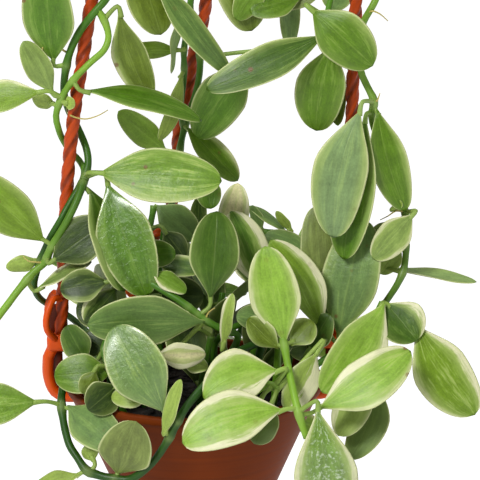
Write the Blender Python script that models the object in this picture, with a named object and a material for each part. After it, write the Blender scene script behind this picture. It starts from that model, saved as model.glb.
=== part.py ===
"""Trailing dischidia in a hanging pot, in metres, +Z up, with the front of the plant towards -Y.

Everything is laid out from the centre of the pot's rim. The empty "rim_centre" then lowers the whole
plant, so that the frame's origin is the inside top of the hook it hangs from.
"""
import math
import random

import bmesh
import bpy
import numpy as np
from mathutils import Matrix, Vector
from mathutils.bvhtree import BVHTree

for item in list(bpy.data.objects):
    bpy.data.objects.remove(item, do_unlink=True)

MM = 0.001
GAP = 0.3 * MM

# Hanging height and pot
HANG = 407 * MM
HOOK_X = 12 * MM
RIM_R = 61.2 * MM
WALL_TOP_R = 59.8 * MM
FOOT_R = 30.9 * MM
POT_H = 74 * MM
WALL_T = 2.0 * MM
POT_SIDES = 32
SOIL_TOP = -12 * MM

# Line of sight of the reference view: the layout of the front of the plant is given by where a
# point is seen from there (across and down, in view units) and by how far back it lies (mm of +Y).
VIEW_UNITS = 1672.0
VIEW_MIDDLE = 240.0
VIEW_PITCH = math.radians(13.97)
VIEW_YAW = math.radians(1.6)
VIEW_DISTANCE = 0.8
RIM_SEEN = (194.5, 375.4)

# Leaves and stems
LEAF_T = 1.5 * MM
PETIOLE_R = 0.85 * MM
BLADE_SHARES = (0.0, 0.13, 0.36, 0.66, 0.9)
HIDDEN_SHARES = (0.0, 0.22, 0.6, 0.88)
STEM_R = 1.5 * MM
STEM_SIDES = 5
STEM_STEP = 14 * MM
FOOT_RISE = 7 * MM


def sight(across, down):
    """The direction in which a point of the reference view is seen."""
    forward = Vector((math.sin(VIEW_YAW) * math.cos(VIEW_PITCH),
                      math.cos(VIEW_YAW) * math.cos(VIEW_PITCH), -math.sin(VIEW_PITCH)))
    right = Vector((math.cos(VIEW_YAW), -math.sin(VIEW_YAW), 0))
    up = right.cross(forward)
    ray = forward + right * ((across - VIEW_MIDDLE) / VIEW_UNITS)
    return (ray - up * ((down - VIEW_MIDDLE) / VIEW_UNITS)).normalized()


EYE = -VIEW_DISTANCE * sight(*RIM_SEEN)
ABOVE = Vector((0, 0, 0.9))


def at(across, down, back):
    """The point seen there that lies this many mm behind the pot's axis."""
    ray = sight(across, down)
    return EYE + ray * ((back * MM - EYE.y) / ray.y)


def mm(x, y, z):
    return Vector((x, y, z)) * MM


# Shapes


def smooth_path(points, step):
    """A Catmull-Rom curve through the points, at steps of about this length."""
    out = []
    for i in range(len(points) - 1):
        a = points[max(i - 1, 0)]
        b, c = points[i], points[i + 1]
        d = points[min(i + 2, len(points) - 1)]
        count = max(1, round((c - b).length / step))
        for k in range(count):
            t = k / count
            out.append(0.5 * (2 * b + (c - a) * t + (2 * a - 5 * b + 4 * c - d) * t * t
                              + (3 * b - a - 3 * c + d) * t ** 3))
    return out + [points[-1].copy()]


def path_frames(path, closed=False, side=None):
    """A side vector and an up vector across the path at each point, turning as little as they can."""
    frames = []
    for i, point in enumerate(path):
        if closed:
            along = path[(i + 1) % len(path)] - path[i - 1]
        else:
            along = path[min(i + 1, len(path) - 1)] - path[max(i - 1, 0)]
        along.normalize()
        if side is None:
            side = along.cross(Vector((0, 1, 0)))
            if side.length < 0.2:
                side = along.cross(Vector((1, 0, 0)))
        side = (side - along * side.dot(along)).normalized()
        frames.append((side, along.cross(side)))
    return frames


def skin(rings, close_ends=True, loop=False):
    """A mesh with a ring of points per step, the first and last rings filled in."""
    form = bmesh.new()
    rows = [[form.verts.new(p) for p in ring] for ring in rings]
    pairs = list(zip(rows, rows[1:]))
    if loop:
        pairs.append((rows[-1], rows[0]))
    for first, second in pairs:
        if len(second) == 1:
            for k in range(len(first)):
                form.faces.new((first[k], first[(k + 1) % len(first)], second[0]))
            continue
        for k in range(len(first)):
            n = (k + 1) % len(first)
            form.faces.new((first[k], first[n], second[n], second[k]))
    if close_ends and not loop:
        form.faces.new(list(reversed(rows[0])))
        if len(rows[-1]) > 1:
            form.faces.new(rows[-1])
    bmesh.ops.recalc_face_normals(form, faces=form.faces)
    mesh = bpy.data.meshes.new("shape")
    form.to_mesh(mesh)
    form.free()
    return mesh


def tube(path, radii, sides=STEM_SIDES, flat=1.0, twist=0.0, loop=False, side=None):
    """A round or oval bar along the path. Twist is in radians per metre."""
    rings = []
    run = 0.0
    for i, (point, (side, up)) in enumerate(zip(path, path_frames(path, loop, side))):
        if i:
            run += (point - path[i - 1]).length
        r = radii[i] if isinstance(radii, list) else radii
        ring = []
        for k in range(sides):
            turn = 2 * math.pi * k / sides
            x, y = r * math.cos(turn), r * flat * math.sin(turn)
            c, s = math.cos(twist * run), math.sin(twist * run)
            ring.append(point + side * (x * c - y * s) + up * (x * s + y * c))
        rings.append(ring)
    return skin(rings, loop=loop)


def lathe(profile, sides):
    """The solid a closed profile of (radius, height) sweeps about the Z axis."""
    form = bmesh.new()
    verts = [form.verts.new((r, 0, z)) for r, z in profile]
    edges = [form.edges.new(pair) for pair in zip(verts, verts[1:])]
    bmesh.ops.spin(form, geom=verts + edges, cent=(0, 0, 0), axis=(0, 0, 1),
                   angle=2 * math.pi, steps=sides, use_duplicate=False)
    bmesh.ops.remove_doubles(form, verts=form.verts, dist=1e-6)
    bmesh.ops.recalc_face_normals(form, faces=form.faces)
    mesh = bpy.data.meshes.new("shape")
    form.to_mesh(mesh)
    form.free()
    return mesh


def material(name, color, roughness, metallic=0.0):
    made = bpy.data.materials.new(name)
    made.use_nodes = True
    shader = made.node_tree.nodes["Principled BSDF"]
    shader.inputs["Base Color"].default_value = (*color, 1)
    shader.inputs["Roughness"].default_value = roughness
    shader.inputs["Metallic"].default_value = metallic
    return made


def make(name, mesh, look):
    obj = bpy.data.objects.new(name, mesh)
    bpy.context.scene.collection.objects.link(obj)
    obj.data.materials.clear()
    obj.data.materials.append(look)
    for face in obj.data.polygons:
        face.use_smooth = True
    obj.parent = rim_centre
    return obj


def drop_crumbs(mesh):
    """Removes the crumbs and pinholes, under half a cubic millimetre, that a union can leave."""
    form = bmesh.new()
    form.from_mesh(mesh)
    bmesh.ops.triangulate(form, faces=form.faces[:])
    left = set(form.faces)
    while left:
        island = {left.pop()}
        edge = list(island)
        while edge:
            face = edge.pop()
            for near in {f for line in face.edges for f in line.link_faces} - island:
                island.add(near)
                edge.append(near)
        left -= island
        volume = sum(loop.vert.co.dot(loop.link_loop_next.vert.co.cross(loop.link_loop_prev.vert.co))
                     for loop in [face.loops[0] for face in island]) / 6
        if len(island) < 400 and abs(volume) < 0.5 * MM ** 3:
            bmesh.ops.delete(form, geom=list(island), context="FACES")
    form.to_mesh(mesh)
    form.free()


def combine(name, meshes, look, cutters=()):
    """One solid from overlapping shapes, less the cutters."""
    obj = make(name, meshes[0], look)
    for operation, shapes in (("UNION", meshes[1:]), ("DIFFERENCE", list(cutters))):
        if not shapes:
            continue
        group = bpy.data.collections.new("shapes")
        for mesh in shapes:
            group.objects.link(bpy.data.objects.new("shape", mesh))
        bpy.context.scene.collection.children.link(group)
        for other in group.objects:
            other.parent = rim_centre
        change = obj.modifiers.new(operation, "BOOLEAN")
        change.operation = operation
        change.operand_type = "COLLECTION"
        change.collection = group
        change.solver = "MANIFOLD"
        bpy.context.view_layer.update()
        solid = bpy.data.meshes.new_from_object(obj.evaluated_get(bpy.context.evaluated_depsgraph_get()))
        obj.modifiers.clear()
        drop_crumbs(solid)
        obj.data = solid
        for other in list(group.objects):
            bpy.data.objects.remove(other, do_unlink=True)
        bpy.data.collections.remove(group)
    obj.data.materials.clear()
    obj.data.materials.append(look)
    for face in obj.data.polygons:
        face.use_smooth = True
    return obj


rim_centre = bpy.data.objects.new("rim_centre", None)
rim_centre.location = (-HOOK_X, 0, -HANG)
bpy.context.scene.collection.objects.link(rim_centre)
bpy.context.view_layer.update()

# Materials
pot_plastic = material("pot_plastic", (0.165, 0.042, 0.018), 0.5)
hanger_plastic = material("hanger_plastic", (0.55, 0.095, 0.022), 0.42)
soil_mix = material("soil_mix", (0.022, 0.013, 0.008), 0.95)
leaf_green = material("leaf_green", (0.16, 0.27, 0.07), 0.42)
leaf_cream = material("leaf_cream", (0.33, 0.42, 0.17), 0.42)
leaf_grey = material("leaf_grey", (0.17, 0.26, 0.11), 0.42)

# Pot: a plain tapered bowl with a rounded lip, and a slot under the lip for each clip
LIP_DROP = 4.6 * MM
CLIP_TURNS = {"left": math.radians(183), "back": math.radians(113), "right": math.radians(358)}
pot_profile = [
    (0, -POT_H), (FOOT_R - 2 * MM, -POT_H), (FOOT_R, -POT_H + 1.6 * MM),
    (WALL_TOP_R, -LIP_DROP), (RIM_R, -LIP_DROP + 1.2 * MM), (RIM_R, -0.7 * MM),
    (RIM_R - 0.8 * MM, 0), (RIM_R - 2.2 * MM, 0), (RIM_R - 3 * MM, -0.9 * MM),
    (WALL_TOP_R - WALL_T, -LIP_DROP), (FOOT_R - WALL_T, -POT_H + 3.6 * MM),
    (0, -POT_H + 2.2 * MM),
]


def outward(turn, out, across, z):
    """A point by its distance from the pot's axis, its shift along the rim and its height."""
    radial = Vector((math.cos(turn), math.sin(turn), 0))
    along = Vector((-math.sin(turn), math.cos(turn), 0))
    return radial * out + along * across + Vector((0, 0, z))


def box(turn, low, high, round_by=0):
    form = bmesh.new()
    bmesh.ops.create_cube(form, size=1)
    for vert in form.verts:
        place = [low[i] + (vert.co[i] + 0.5) * (high[i] - low[i]) for i in range(3)]
        vert.co = outward(turn, *place)
    if round_by:
        bmesh.ops.bevel(form, geom=form.edges[:], offset=round_by, offset_type="OFFSET", segments=1,
                        profile=0.5, affect="EDGES", material=-1)
    mesh = bpy.data.meshes.new("shape")
    form.to_mesh(mesh)
    form.free()
    return mesh


slots = [box(turn, (50 * MM, -5.4 * MM, -12.6 * MM), (66 * MM, 5.4 * MM, -5.3 * MM))
         for turn in CLIP_TURNS.values()]
combine("pot", [lathe(pot_profile, POT_SIDES)], pot_plastic, slots)

# Hanger legs: a twisted cord of plastic, moulded into a stirrup and a ring that goes through the
# pot's slot and back over its lip
CORD_R = 3.2 * MM
CORD_FLAT = 0.7
CORD_TWIST = math.pi / (28 * MM)
RING = [(69, 11), (69.2, 2), (66.4, -6), (60, -8.8), (55, -7.4), (53.6, 0), (55, 11), (59, 17.6),
        (65, 17.8)]
CORDS = {
    "left": [at(62.5, 300, -3), at(64, 250, -3), at(65.3, 215, -3), at(67.4, 180, -3),
             at(70, 150, -3), at(74.6, 110, -3), at(80, 75, -3), at(85.5, 40, -3),
             at(91.5, 0, -3), at(98, -34, -3), at(107, -76, -2.5), mm(-36, -2, 250), mm(-17, -1, 318),
             mm(0.4, 0, 356), mm(2, 0, 366.2)],
    "back": [mm(-24, 58, 48), at(166, 225, 57), at(171, 208, 57), at(179, 130, 54), at(186, 100, 51.5),
             at(191, 75, 50), at(193.5, 55, 48), at(204, 15, 44), at(208, -30, 41.5), at(212, -82, 38),
             mm(10, 32, 262), mm(12, 16, 330), mm(12, 10, 357), mm(12, 9.6, 366.2)],
    "right": [mm(67, -2, 44), at(346, 240, -2), at(350, 160, -2), at(352, 113, -2), at(353, 73, -2),
              at(355.5, 10, -2), at(355.5, -26, -2), at(353.5, -62, -2), mm(74, -2, 236),
              mm(56, -1, 304), mm(34, 0, 340), mm(23, 0, 356), mm(22, 0, 366.1)],
}


def stirrup_arm(turn, top, sway):
    """Half of the stirrup: out from the cord, round and back into the saddle."""
    swing = [(0.0, 0.0, 45), (3.6, 5.2, 41), (6.6, 8.8, 34), (6.4, 8.6, 27), (2.6, 4.0, 21), (0.0, 0.0, 19)]
    points = []
    for k, (out, across, z) in enumerate(swing):
        base = 63 + (top.xy.length / MM - 63) * (1 - k / (len(swing) - 1))
        points.append(outward(turn, (base + out) * MM, sway * across * MM, z * MM))
    points[0] = top
    return tube(smooth_path(points, 8 * MM), 1.6 * MM, 5)


for side, turn in CLIP_TURNS.items():
    cord = CORDS[side]
    saddle = outward(turn, 63 * MM, 0, 21 * MM)
    route = smooth_path([outward(turn, 62.6 * MM, 0, 16.5 * MM), saddle] + cord, 12 * MM)
    ring = [outward(turn, out * MM, 0, z * MM) for out, z in RING]
    shapes = [
        box(turn, (59.6 * MM, -5 * MM, 14.6 * MM), (69.4 * MM, 5 * MM, 23 * MM), 2.4 * MM),
        tube(route, CORD_R, 6, CORD_FLAT, CORD_TWIST),
        tube(ring, 3.6 * MM, 6, 0.44, loop=True, side=outward(turn, 0, 1, 0)),
        stirrup_arm(turn, cord[0], 1),
        stirrup_arm(turn, cord[0], -1),
    ]
    combine("hanger_leg_" + side, shapes, hanger_plastic)

# Hook: a moulded boss over the ends of the three cords, and an open hook on it
HOOK_R = 2.7 * MM
HOOK_INNER = 12 * MM
hook_centre = Vector((HOOK_X, 0, HANG - HOOK_INNER))
bend = []
for degrees in range(-76, 226, 20):
    turn = math.radians(degrees)
    bend.append(hook_centre + Vector((math.cos(turn), 0, math.sin(turn))) * (HOOK_INNER + HOOK_R))
bend = [Vector((HOOK_X, 0, 372 * MM)), Vector((HOOK_X, 0, 377 * MM))] + bend
boss = lathe([(0, 366.6 * MM), (13.6 * MM, 366.6 * MM), (14.6 * MM, 368 * MM), (12.6 * MM, 373 * MM),
              (5 * MM, 376.5 * MM), (0, 376.5 * MM)], 18)
boss.transform(Matrix.Translation((HOOK_X, 2 * MM, 0)))
combine("hanger_hook", [tube(smooth_path(bend, 9 * MM), HOOK_R, 6), boss], hanger_plastic)


# Leaves


def blade(share):
    """How wide a leaf is at this share of its length, against its widest."""
    return (4 * share * (1 - share)) ** 0.56 * min(1, (share / 0.3) ** 0.25)


def leaf_shape(base, tip, width, face, turn, bow, fold, sweep, root, shares=BLADE_SHARES):
    """A leaf with its stalk: its rings of points from the stem it grows from to its tip."""
    chord = tip - base
    length = chord.length
    along = chord / length
    across = along.cross(face - (base + tip) / 2).normalized()
    over = across.cross(along)
    c, s = math.cos(math.radians(turn)), math.sin(math.radians(turn))
    across, over = across * c + over * s, over * c - across * s
    rings = []
    reach = (base - root).length
    stalk = [root]
    if reach > 8 * MM:
        stalk.append(base - along * min(0.45 * reach, 8 * MM))
    for point, ahead in zip(stalk, stalk[1:] + [base]):
        way = (ahead - point).normalized()
        if point != root:
            way = (way + (point - root).normalized()).normalized()
        wide = across - way * across.dot(way)
        if wide.length < 0.3:
            wide = (over - way * over.dot(way)).cross(way)
        wide.normalize()
        deep = wide.cross(way)
        rings.append([point - wide * PETIOLE_R, point + deep * PETIOLE_R,
                      point + wide * PETIOLE_R, point - deep * PETIOLE_R])
    for share in shares:
        half = max(width * MM / 2 * blade(share), 1.05 * PETIOLE_R)
        hump = 4 * share * (1 - share)
        centre = base + chord * share + over * (bow * MM * hump) + across * (sweep * MM * hump)
        lift = over * (half * math.tan(math.radians(fold)))
        thick = over * (max(LEAF_T * (0.5 - 0.18 * share), 0.5 * MM) if share else PETIOLE_R)
        rings.append([centre - across * half + lift, centre + thick,
                      centre + across * half + lift, centre - thick])
    rings.append([tip])
    return rings


def nearest(point, paths):
    """The nearest point of the stems."""
    found = None
    for path in paths:
        for a, b in zip(path, path[1:]):
            run = b - a
            share = min(max((point - a).dot(run) / run.length_squared, 0), 1)
            place = a + run * share
            if found is None or (place - point).length < (found - point).length:
                found = place
    return found


# Each vine: the runs of its stem, each with its thickness, then a row per leaf: where its base and
# its tip are seen and how far back they lie, its width in mm, its turn about its own length
# (0 shows its upper face, 180 its underside), the rise of its middle, its fold and its sideways bend.
VINES = {
    "vine_left_climber": (leaf_green, [
        (1.6, [mm(-40, -5, -18), at(108, 352, -4), at(98, 342, 2), at(84, 329, 9), at(70, 317, 13),
               at(57, 309, 14), at(46, 303, 9), at(38, 296, 2), at(34, 285, -4), at(37, 271, -5),
               at(42, 256, -6), at(49, 240, -8), at(60, 221, -10), at(71, 201, -7), at(84, 180, -4)]),
        (1.7, [at(84, 180, -4), at(88, 165, -1), at(87, 151, 2), at(82, 137, 5), at(75, 122, 6.5),
               at(68, 109, 4), at(64, 92, -1), at(65, 74, -4), at(70, 52, -6), at(80, 31, -9),
               at(94, 13, -11), at(108, -4, -8), at(114, -24, 0), at(106, -48, 5), at(94, -70, 3),
               at(90, -92, -6), at(100, -112, -11), at(116, -128, -4), at(120, -150, 3)]),
        (1.5, [at(97, 9, -11), at(104, 20, -8), at(108.5, 36, -7), at(104, 50, -9), at(91, 62, -11),
               at(76, 77, -11), at(66, 90, -8), at(59, 104, -6), at(56, 116, -5), at(58, 127, -4),
               at(62, 138, 1), at(70, 151, 5), at(79, 160, 4), at(84, 170, 0), at(84, 180, -4)]),
        (1.7, [at(84, 180, -4), at(78, 198, -10), at(68, 219, -13), at(57, 238, -13), at(50, 250, -12),
               at(45, 262, -11), at(34, 272, -12), at(20, 288, -14), at(8, 304, -16), at(-5, 321, -18),
               at(-17, 338, -19)]),
    ], [
        (54, 62, -6, 46, -34, -14, 23, 15, 2, 12, 0),
        (53, 93, -9, 23, 41, -13, 12, 0, 1, 8, 0),
        (43, 92, -10, -44, 104, -8, 16, -25, 1, 8, 0),
        (56, 104, -4, 32, 99, 0, 8, 30, 0, 0, 0),
        (63, 104, -8, 75, 102, -12, 6, 0, 0, 0, 0),
        (84, 91, -12, 202, 121, -6, 17, 52, 2, 6, -2),
        (119, 11, -8, 150, 98, 3, 16, -10, 1, 5, 2),
        (136, -38, 0, 161, 35, -4, 20, 10, 2, 5, 0),
        (150, -26, -5, 230, 75, -10, 13, 30, 2, 5, 2),
        (99, 173, -14, 222, 181, -24, 25, 10, 3, 6, 0),
        (104, 180, -9, 141, 297, -27, 26, -8, 3, 8, 0),
        (88, 187, -5, 124, 292, -25, 21, 25, 2, 8, -2),
        (45, 242, -13, -34, 171, -20, 21, 10, 2, 8, 0),
        (41, 259, -5, 6, 268, -2, 8, 20, 0, 0, 0),
        (51, 262, -15, 106, 222, -14, 21, 10, 1, 4, 0),
        (38, 289, -11, 92, 262, -15, 13, 62, 1, 10, 0),
        (-16, 337, -19, -52, 352, -22, 9, 0, 1, 6, 0),
        (-14, 334, -19, -30, 372, -22, 8, 20, 1, 6, 0),
        (106, -22, -10, 62, -92, -18, 18, -20, 2, 8, 0),
        (88, -92, -6, 28, -70, -10, 18, 25, 2, 8, 0),
        (118, -140, 0, 172, -112, -6, 17, 30, 2, 6, 0),
        (121, -153, 7, 108, -208, 13, 13, 0, 2, 6, 0),
        (123, -150, 4, 144, -200, 6, 11, 20, 1, 6, 0),
    ]),
    "vine_back_climber": (leaf_green, [
        (1.6, [mm(-18, 30, -18), mm(-18, 38, 8), at(160, 262, 48), at(164, 232, 49), at(175, 190, 49),
               at(180, 150, 47), at(184, 130, 47), at(191, 108, 47), at(197, 88, 45), at(200, 68, 42),
               at(199, 48, 40), at(194, 28, 38), at(190, 8, 37), at(196, -18, 34), at(212, -40, 32)]),
        (1.4, [at(184, 130, 47), at(181, 108, 45), at(184, 78, 43), at(184, 50, 40), at(187, 28, 38),
               at(190, 8, 37)]),
        (1.3, [at(196, -18, 34), at(225, -34, 30), at(262, -36, 28), at(300, -26, 26), at(322, -12, 24)]),
        (1.5, [at(212, -40, 32), at(222, -66, 30), at(212, -92, 32), at(205, -118, 30), at(216, -140, 24)]),
    ], [
        (181, 50, 36, 120, 50, 30, 9, 20, 0, 5, 0),
        (178, 15, 34, 171, 74, 32, 9, 66, 0, 5, 0),
        (182, 72, 40, 159, 141, 33, 8, 20, 0, 5, -2),
        (168, 153, 42, 118, 111, 32, 13, 0, 1, 5, 0),
        (252, 60, 34, 197, 138, 34, 23, 10, 2, 5, 2),
        (186, 127, 43, 238, 181, 36, 15, 30, 1, 6, 0),
        (200, 190, 42, 197, 238, 40, 8, 0, 0, 4, 0),
        (206, 176, 38, 211, 209, 34, 12, 0, 0, 4, 0),
        (218, -46, 31, 252, 31, 27, 23, 5, 3, 6, -3),
        (263, -26, 26, 236, 20, 22, 13, 15, 1, 6, 0),
        (304, -4, 26, 250, 12, 22, 14, -20, 1, 6, 0),
        (330, -14, 24, 266, 2, 30, 13, 160, 1, 6, 0),
        (287, -30, 26, 290, 49, 34, 10, 20, 1, 6, 0),
        (340, -16, 22, 330, 10, 14, 14, 10, 1, 6, 0),
        (222, -66, 30, 270, -108, 22, 17, 20, 2, 6, 0),
        (214, -90, 32, 160, -104, 26, 18, -20, 2, 6, 0),
        (214, -138, 24, 168, -172, 20, 15, -20, 2, 6, 0),
        (218, -142, 24, 258, -182, 18, 14, 20, 2, 6, 0),
    ]),
    "vine_right_climber": (leaf_grey, [
        (1.6, [mm(44, 18, -18), mm(50, 22, 10), at(346, 332, 16), at(364, 322, 8), at(379, 310, -6),
               at(389, 297, -13),
               at(398, 283, -14), at(404, 268, -12), at(406, 250, -10), at(405, 232, -9), at(405, 212, -8),
               at(398, 186, -5), at(386, 156, -4), at(374, 128, -6), at(372, 114, -9), at(374, 101, -11),
               at(367, 86, -9), at(361, 71, -8), at(360, 50, -8), at(361, 30, -8), at(366, 17, -9),
               at(372, 7, -10), at(377, -6, -8), at(374, -26, -2), at(366, -48, 6), at(352, -68, 6),
               at(341, -82, 1), at(337, -95, -7), at(343, -109, -12), at(356, -122, -13), at(369, -135, -9),
               at(375, -150, -2), at(372, -168, 6)]),
        (1.4, [at(372, -30, 0), at(358, -34, 6), at(342, -22, 4), at(332, -4, -3), at(327, 18, -9),
               at(329, 32, -8)]),
    ], [
        (361, 109, -19, 333, 238, -26, 24, 5, 3, 5, 0),
        (366, 117, -13, 344, 260, -19, 22, -25, 2, 5, 0),
        (377, 109, -13, 405, 211, -14, 17, 15, 2, 8, 2),
        (413, 214, -14, 373, 259, -20, 15, 10, 1, 6, 0),
        (402, 224, -6, 371, 233, -4, 9, 40, 0, 5, 0),
        (401, 247, -8, 380, 274, -5, 10, 20, 0, 5, 0),
        (384, 267, 2, 477, 282, -2, 13, 58, 1, 5, 2),
        (312, 10, -17, 371, 63, -22, 29, -8, 4, 3, 2),
        (324, 31, -12, 206, 84, -17, 16, -20, 3, 10, -2),
        (332, 44, -8, 314, 131, -5, 24, 0, 3, 6, 2),
        (333, 50, 0, 338, 126, 4, 9, 10, 1, 5, 0),
        (394, 208, -12, 402, 202, -16, 4, 0, 0, 0, 0),
        (374, -28, -3, 420, -72, -10, 18, 10, 2, 6, 0),
        (331, -95, -9, 292, -134, -14, 19, -10, 2, 6, 0),
        (348, -100, -16, 408, -112, -22, 17, 25, 2, 6, 0),
        (368, -172, 7, 344, -218, 10, 14, 0, 2, 6, 0),
        (376, -172, 6, 402, -214, 6, 12, 20, 2, 6, 0),
    ]),
    "vine_front_trailing": (leaf_grey, [
        (1.8, [mm(26, -14, -18), mm(27, -18, 2), at(260, 344, -24), at(238, 352, -36), at(220, 367, -48),
               at(202, 388, -60), at(187, 406, -67), at(178, 421, -68), at(165, 445, -66),
               at(150, 465, -63), at(130, 479, -60), at(110, 478, -58), at(95, 474, -56),
               at(86, 470, -55), at(77, 457, -52), at(69, 444, -48), at(64, 424, -41),
               at(61.5, 405, -34), at(62.5, 390, -26), at(68, 376, -19), mm(-50, -14, 8),
               mm(-45, -12, -8), mm(-45, -12, -18)]),
    ], [
        (40, 402, -38, -54, 408, -44, 19, -10, 2, 6, 0),
        (67, 405, -36, 120, 450, -64, 19, 10, 2, 6, 0),
        (117, 475, -56, 136, 421, -72, 23, 0, 3, 4, 0),
        (94, 462, -54, 87, 444, -50, 8, 20, 0, 5, 0),
        (82, 474, -56, 28, 494, -60, 13, -50, 1, 5, 0),
        (163, 437, -69, 181, 379, -70, 7, 25, 1, 5, 0),
        (166, 414, -65, 114, 326, -52, 25, 10, 4, 4, 0),
    ]),
    "vine_front_bright": (leaf_cream, [
        (1.7, [mm(36, -16, -18), mm(38, -22, 6), at(280, 326, -36), at(284, 344, -43), at(288, 366, -52),
               at(293, 390, -62), at(298, 411, -68), at(303, 427, -70), at(307, 438, -71)]),
    ], [
        (284, 410, -70, 182, 443, -76, 24, -15, 4, 5, 3),
        (318, 409, -66, 411, 351, -60, 22, 15, 4, 6, 3),
        (317, 412, -72, 331, 536, -68, 28, 5, 4, 5, 0),
        (286, 345, -42, 265, 246, -36, 22, 5, 3, 5, 0),
        (280, 349, -44, 248, 318, -38, 12, 20, 1, 5, 0),
        (290, 346, -42, 313, 321, -38, 13, 10, 1, 5, 0),
    ]),
    "vine_front_pale": (leaf_cream, [
        (1.5, [mm(22, -34, -18), mm(22, -42, 0), at(268, 384, -53), at(277, 390, -55)]),
    ], [
        (280, 371, -58, 203, 398, -65, 23, -10, 3, 6, 4),
        (318, 350, -46, 286, 411, -55, 15, 20, 1, 6, 0),
        (273, 400, -61, 254, 444, -63, 15, 150, 1, 6, 0),
        (262, 398, -61, 243, 433, -62, 10, 20, 1, 6, 0),
    ]),
    "vine_middle_left": (leaf_grey, [
        (1.6, [mm(8, -26, -18), mm(12, -28, 8), at(238, 336, -31), at(226, 331, -33), at(205, 320, -34),
               at(180, 301, -32), at(156, 286, -27), at(145, 279, -23)]),
    ], [
        (206, 322, -37, 87, 325, -46, 23, 10, 3, 4, 2),
        (210, 301, -32, 217, 211, -20, 22, -5, 3, 6, 0),
        (150, 272, -24, 186, 293, -30, 10, 35, 1, 6, 0),
        (223, 346, -38, 233, 293, -38, 7, 30, 1, 6, 0),
        (160, 351, -44, 205, 353, -46, 11, 160, 1, 5, 0),
        (180, 362, -38, 208, 368, -40, 9, 30, 1, 5, 0),
    ]),
    "vine_left_low": (leaf_green, [
        (1.5, [mm(-32, -24, -18), mm(-36, -28, 6), at(112, 372, -34), at(104, 350, -26), at(114, 318, -20),
               at(112, 290, -16)]),
    ], [
        (112, 373, -32, 54, 376, -30, 18, -10, 2, 5, 0),
        (87, 362, -22, 67, 325, -17, 14, 20, 1, 5, 0),
        (96, 370, -36, 83, 394, -38, 9, 0, 1, 5, 0),
        (118, 384, -47, 88, 410, -52, 16, 10, 1, 5, 0),
        (152, 398, -57, 111, 397, -52, 10, -10, 1, 5, 0),
        (109, 282, -21, 60, 290, -21, 15, -10, 2, 4, 0),
        (117, 287, -18, 85, 323, -26, 15, 10, 2, 5, 0),
    ]),
    "vine_middle_dark": (leaf_green, [
        (1.5, [mm(-12, 6, -18), mm(-18, 6, 20), at(136, 278, -2), at(143, 252, 6), at(150, 226, 14),
               at(154, 206, 18)]),
    ], [
        (155, 205, 18, 197, 239, 12, 17, 20, 1, 5, 0),
        (134, 255, -4, 176, 254, -8, 13, 10, 1, 5, 0),
        (163, 230, 8, 185, 258, 2, 11, 10, 1, 5, 0),
        (158, 264, -4, 201, 270, -10, 12, 30, 1, 5, 0),
    ]),
    "vine_middle_cream": (leaf_cream, [
        (1.5, [mm(6, 2, -18), mm(10, 0, 16), at(250, 318, -14), at(258, 292, -12), at(248, 264, -4),
               at(232, 246, 4)]),
    ], [
        (229, 246, 3, 238, 183, 6, 14, 0, 2, 8, 0),
        (257, 289, -12, 231, 211, -6, 18, -5, 2, 8, 2),
        (268, 322, -18, 236, 317, -20, 13, -30, 1, 5, 0),
    ]),
    "vine_right_middle": (leaf_grey, [
        (1.5, [mm(46, -6, -18), mm(56, -8, 10), at(326, 322, -12), at(323, 294, -9), at(319, 266, -3),
               at(317, 250, 4)]),
    ], [
        (322, 298, -8, 315, 206, -1, 16, 0, 2, 6, 0),
        (321, 333, -22, 270, 240, -20, 17, -10, 3, 8, 4),
        (347, 337, -18, 366, 219, -10, 26, 10, 3, 5, 0),
        (316, 262, 6, 264, 235, 10, 15, -30, 1, 5, 0),
    ]),
    "vine_right_low": (leaf_cream, [
        (1.6, [mm(40, -30, -18), mm(50, -32, 10), at(360, 336, -34), at(383, 303, -32)]),
    ], [
        (382, 305, -35, 320, 393, -54, 24, 10, 3, 5, -3),
        (388, 303, -32, 408, 345, -42, 20, 10, 1, 10, 0),
        (416, 326, -36, 475, 415, -46, 25, 10, 4, 5, 3),
        (368, 378, -50, 339, 432, -56, 16, 150, 1, 5, 0),
        (373, 374, -44, 350, 454, -52, 17, 150, 2, 5, 3),
    ]),
    "vine_back_thin": (leaf_grey, [
        (1.4, [mm(34, 28, -18), mm(36, 30, 20), at(290, 262, 38), at(288, 236, 40), at(264, 232, 42)]),
    ], [
        (262, 232, 42, 252, 205, 42, 7, 30, 0, 4, 0),
        (288, 235, 40, 248, 206, 46, 10, -62, 1, 4, 0),
        (293, 233, 40, 276, 211, 40, 5, 20, 0, 4, 0),
        (296, 240, 38, 324, 228, 36, 12, 40, 1, 4, 0),
    ]),
}

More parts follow.
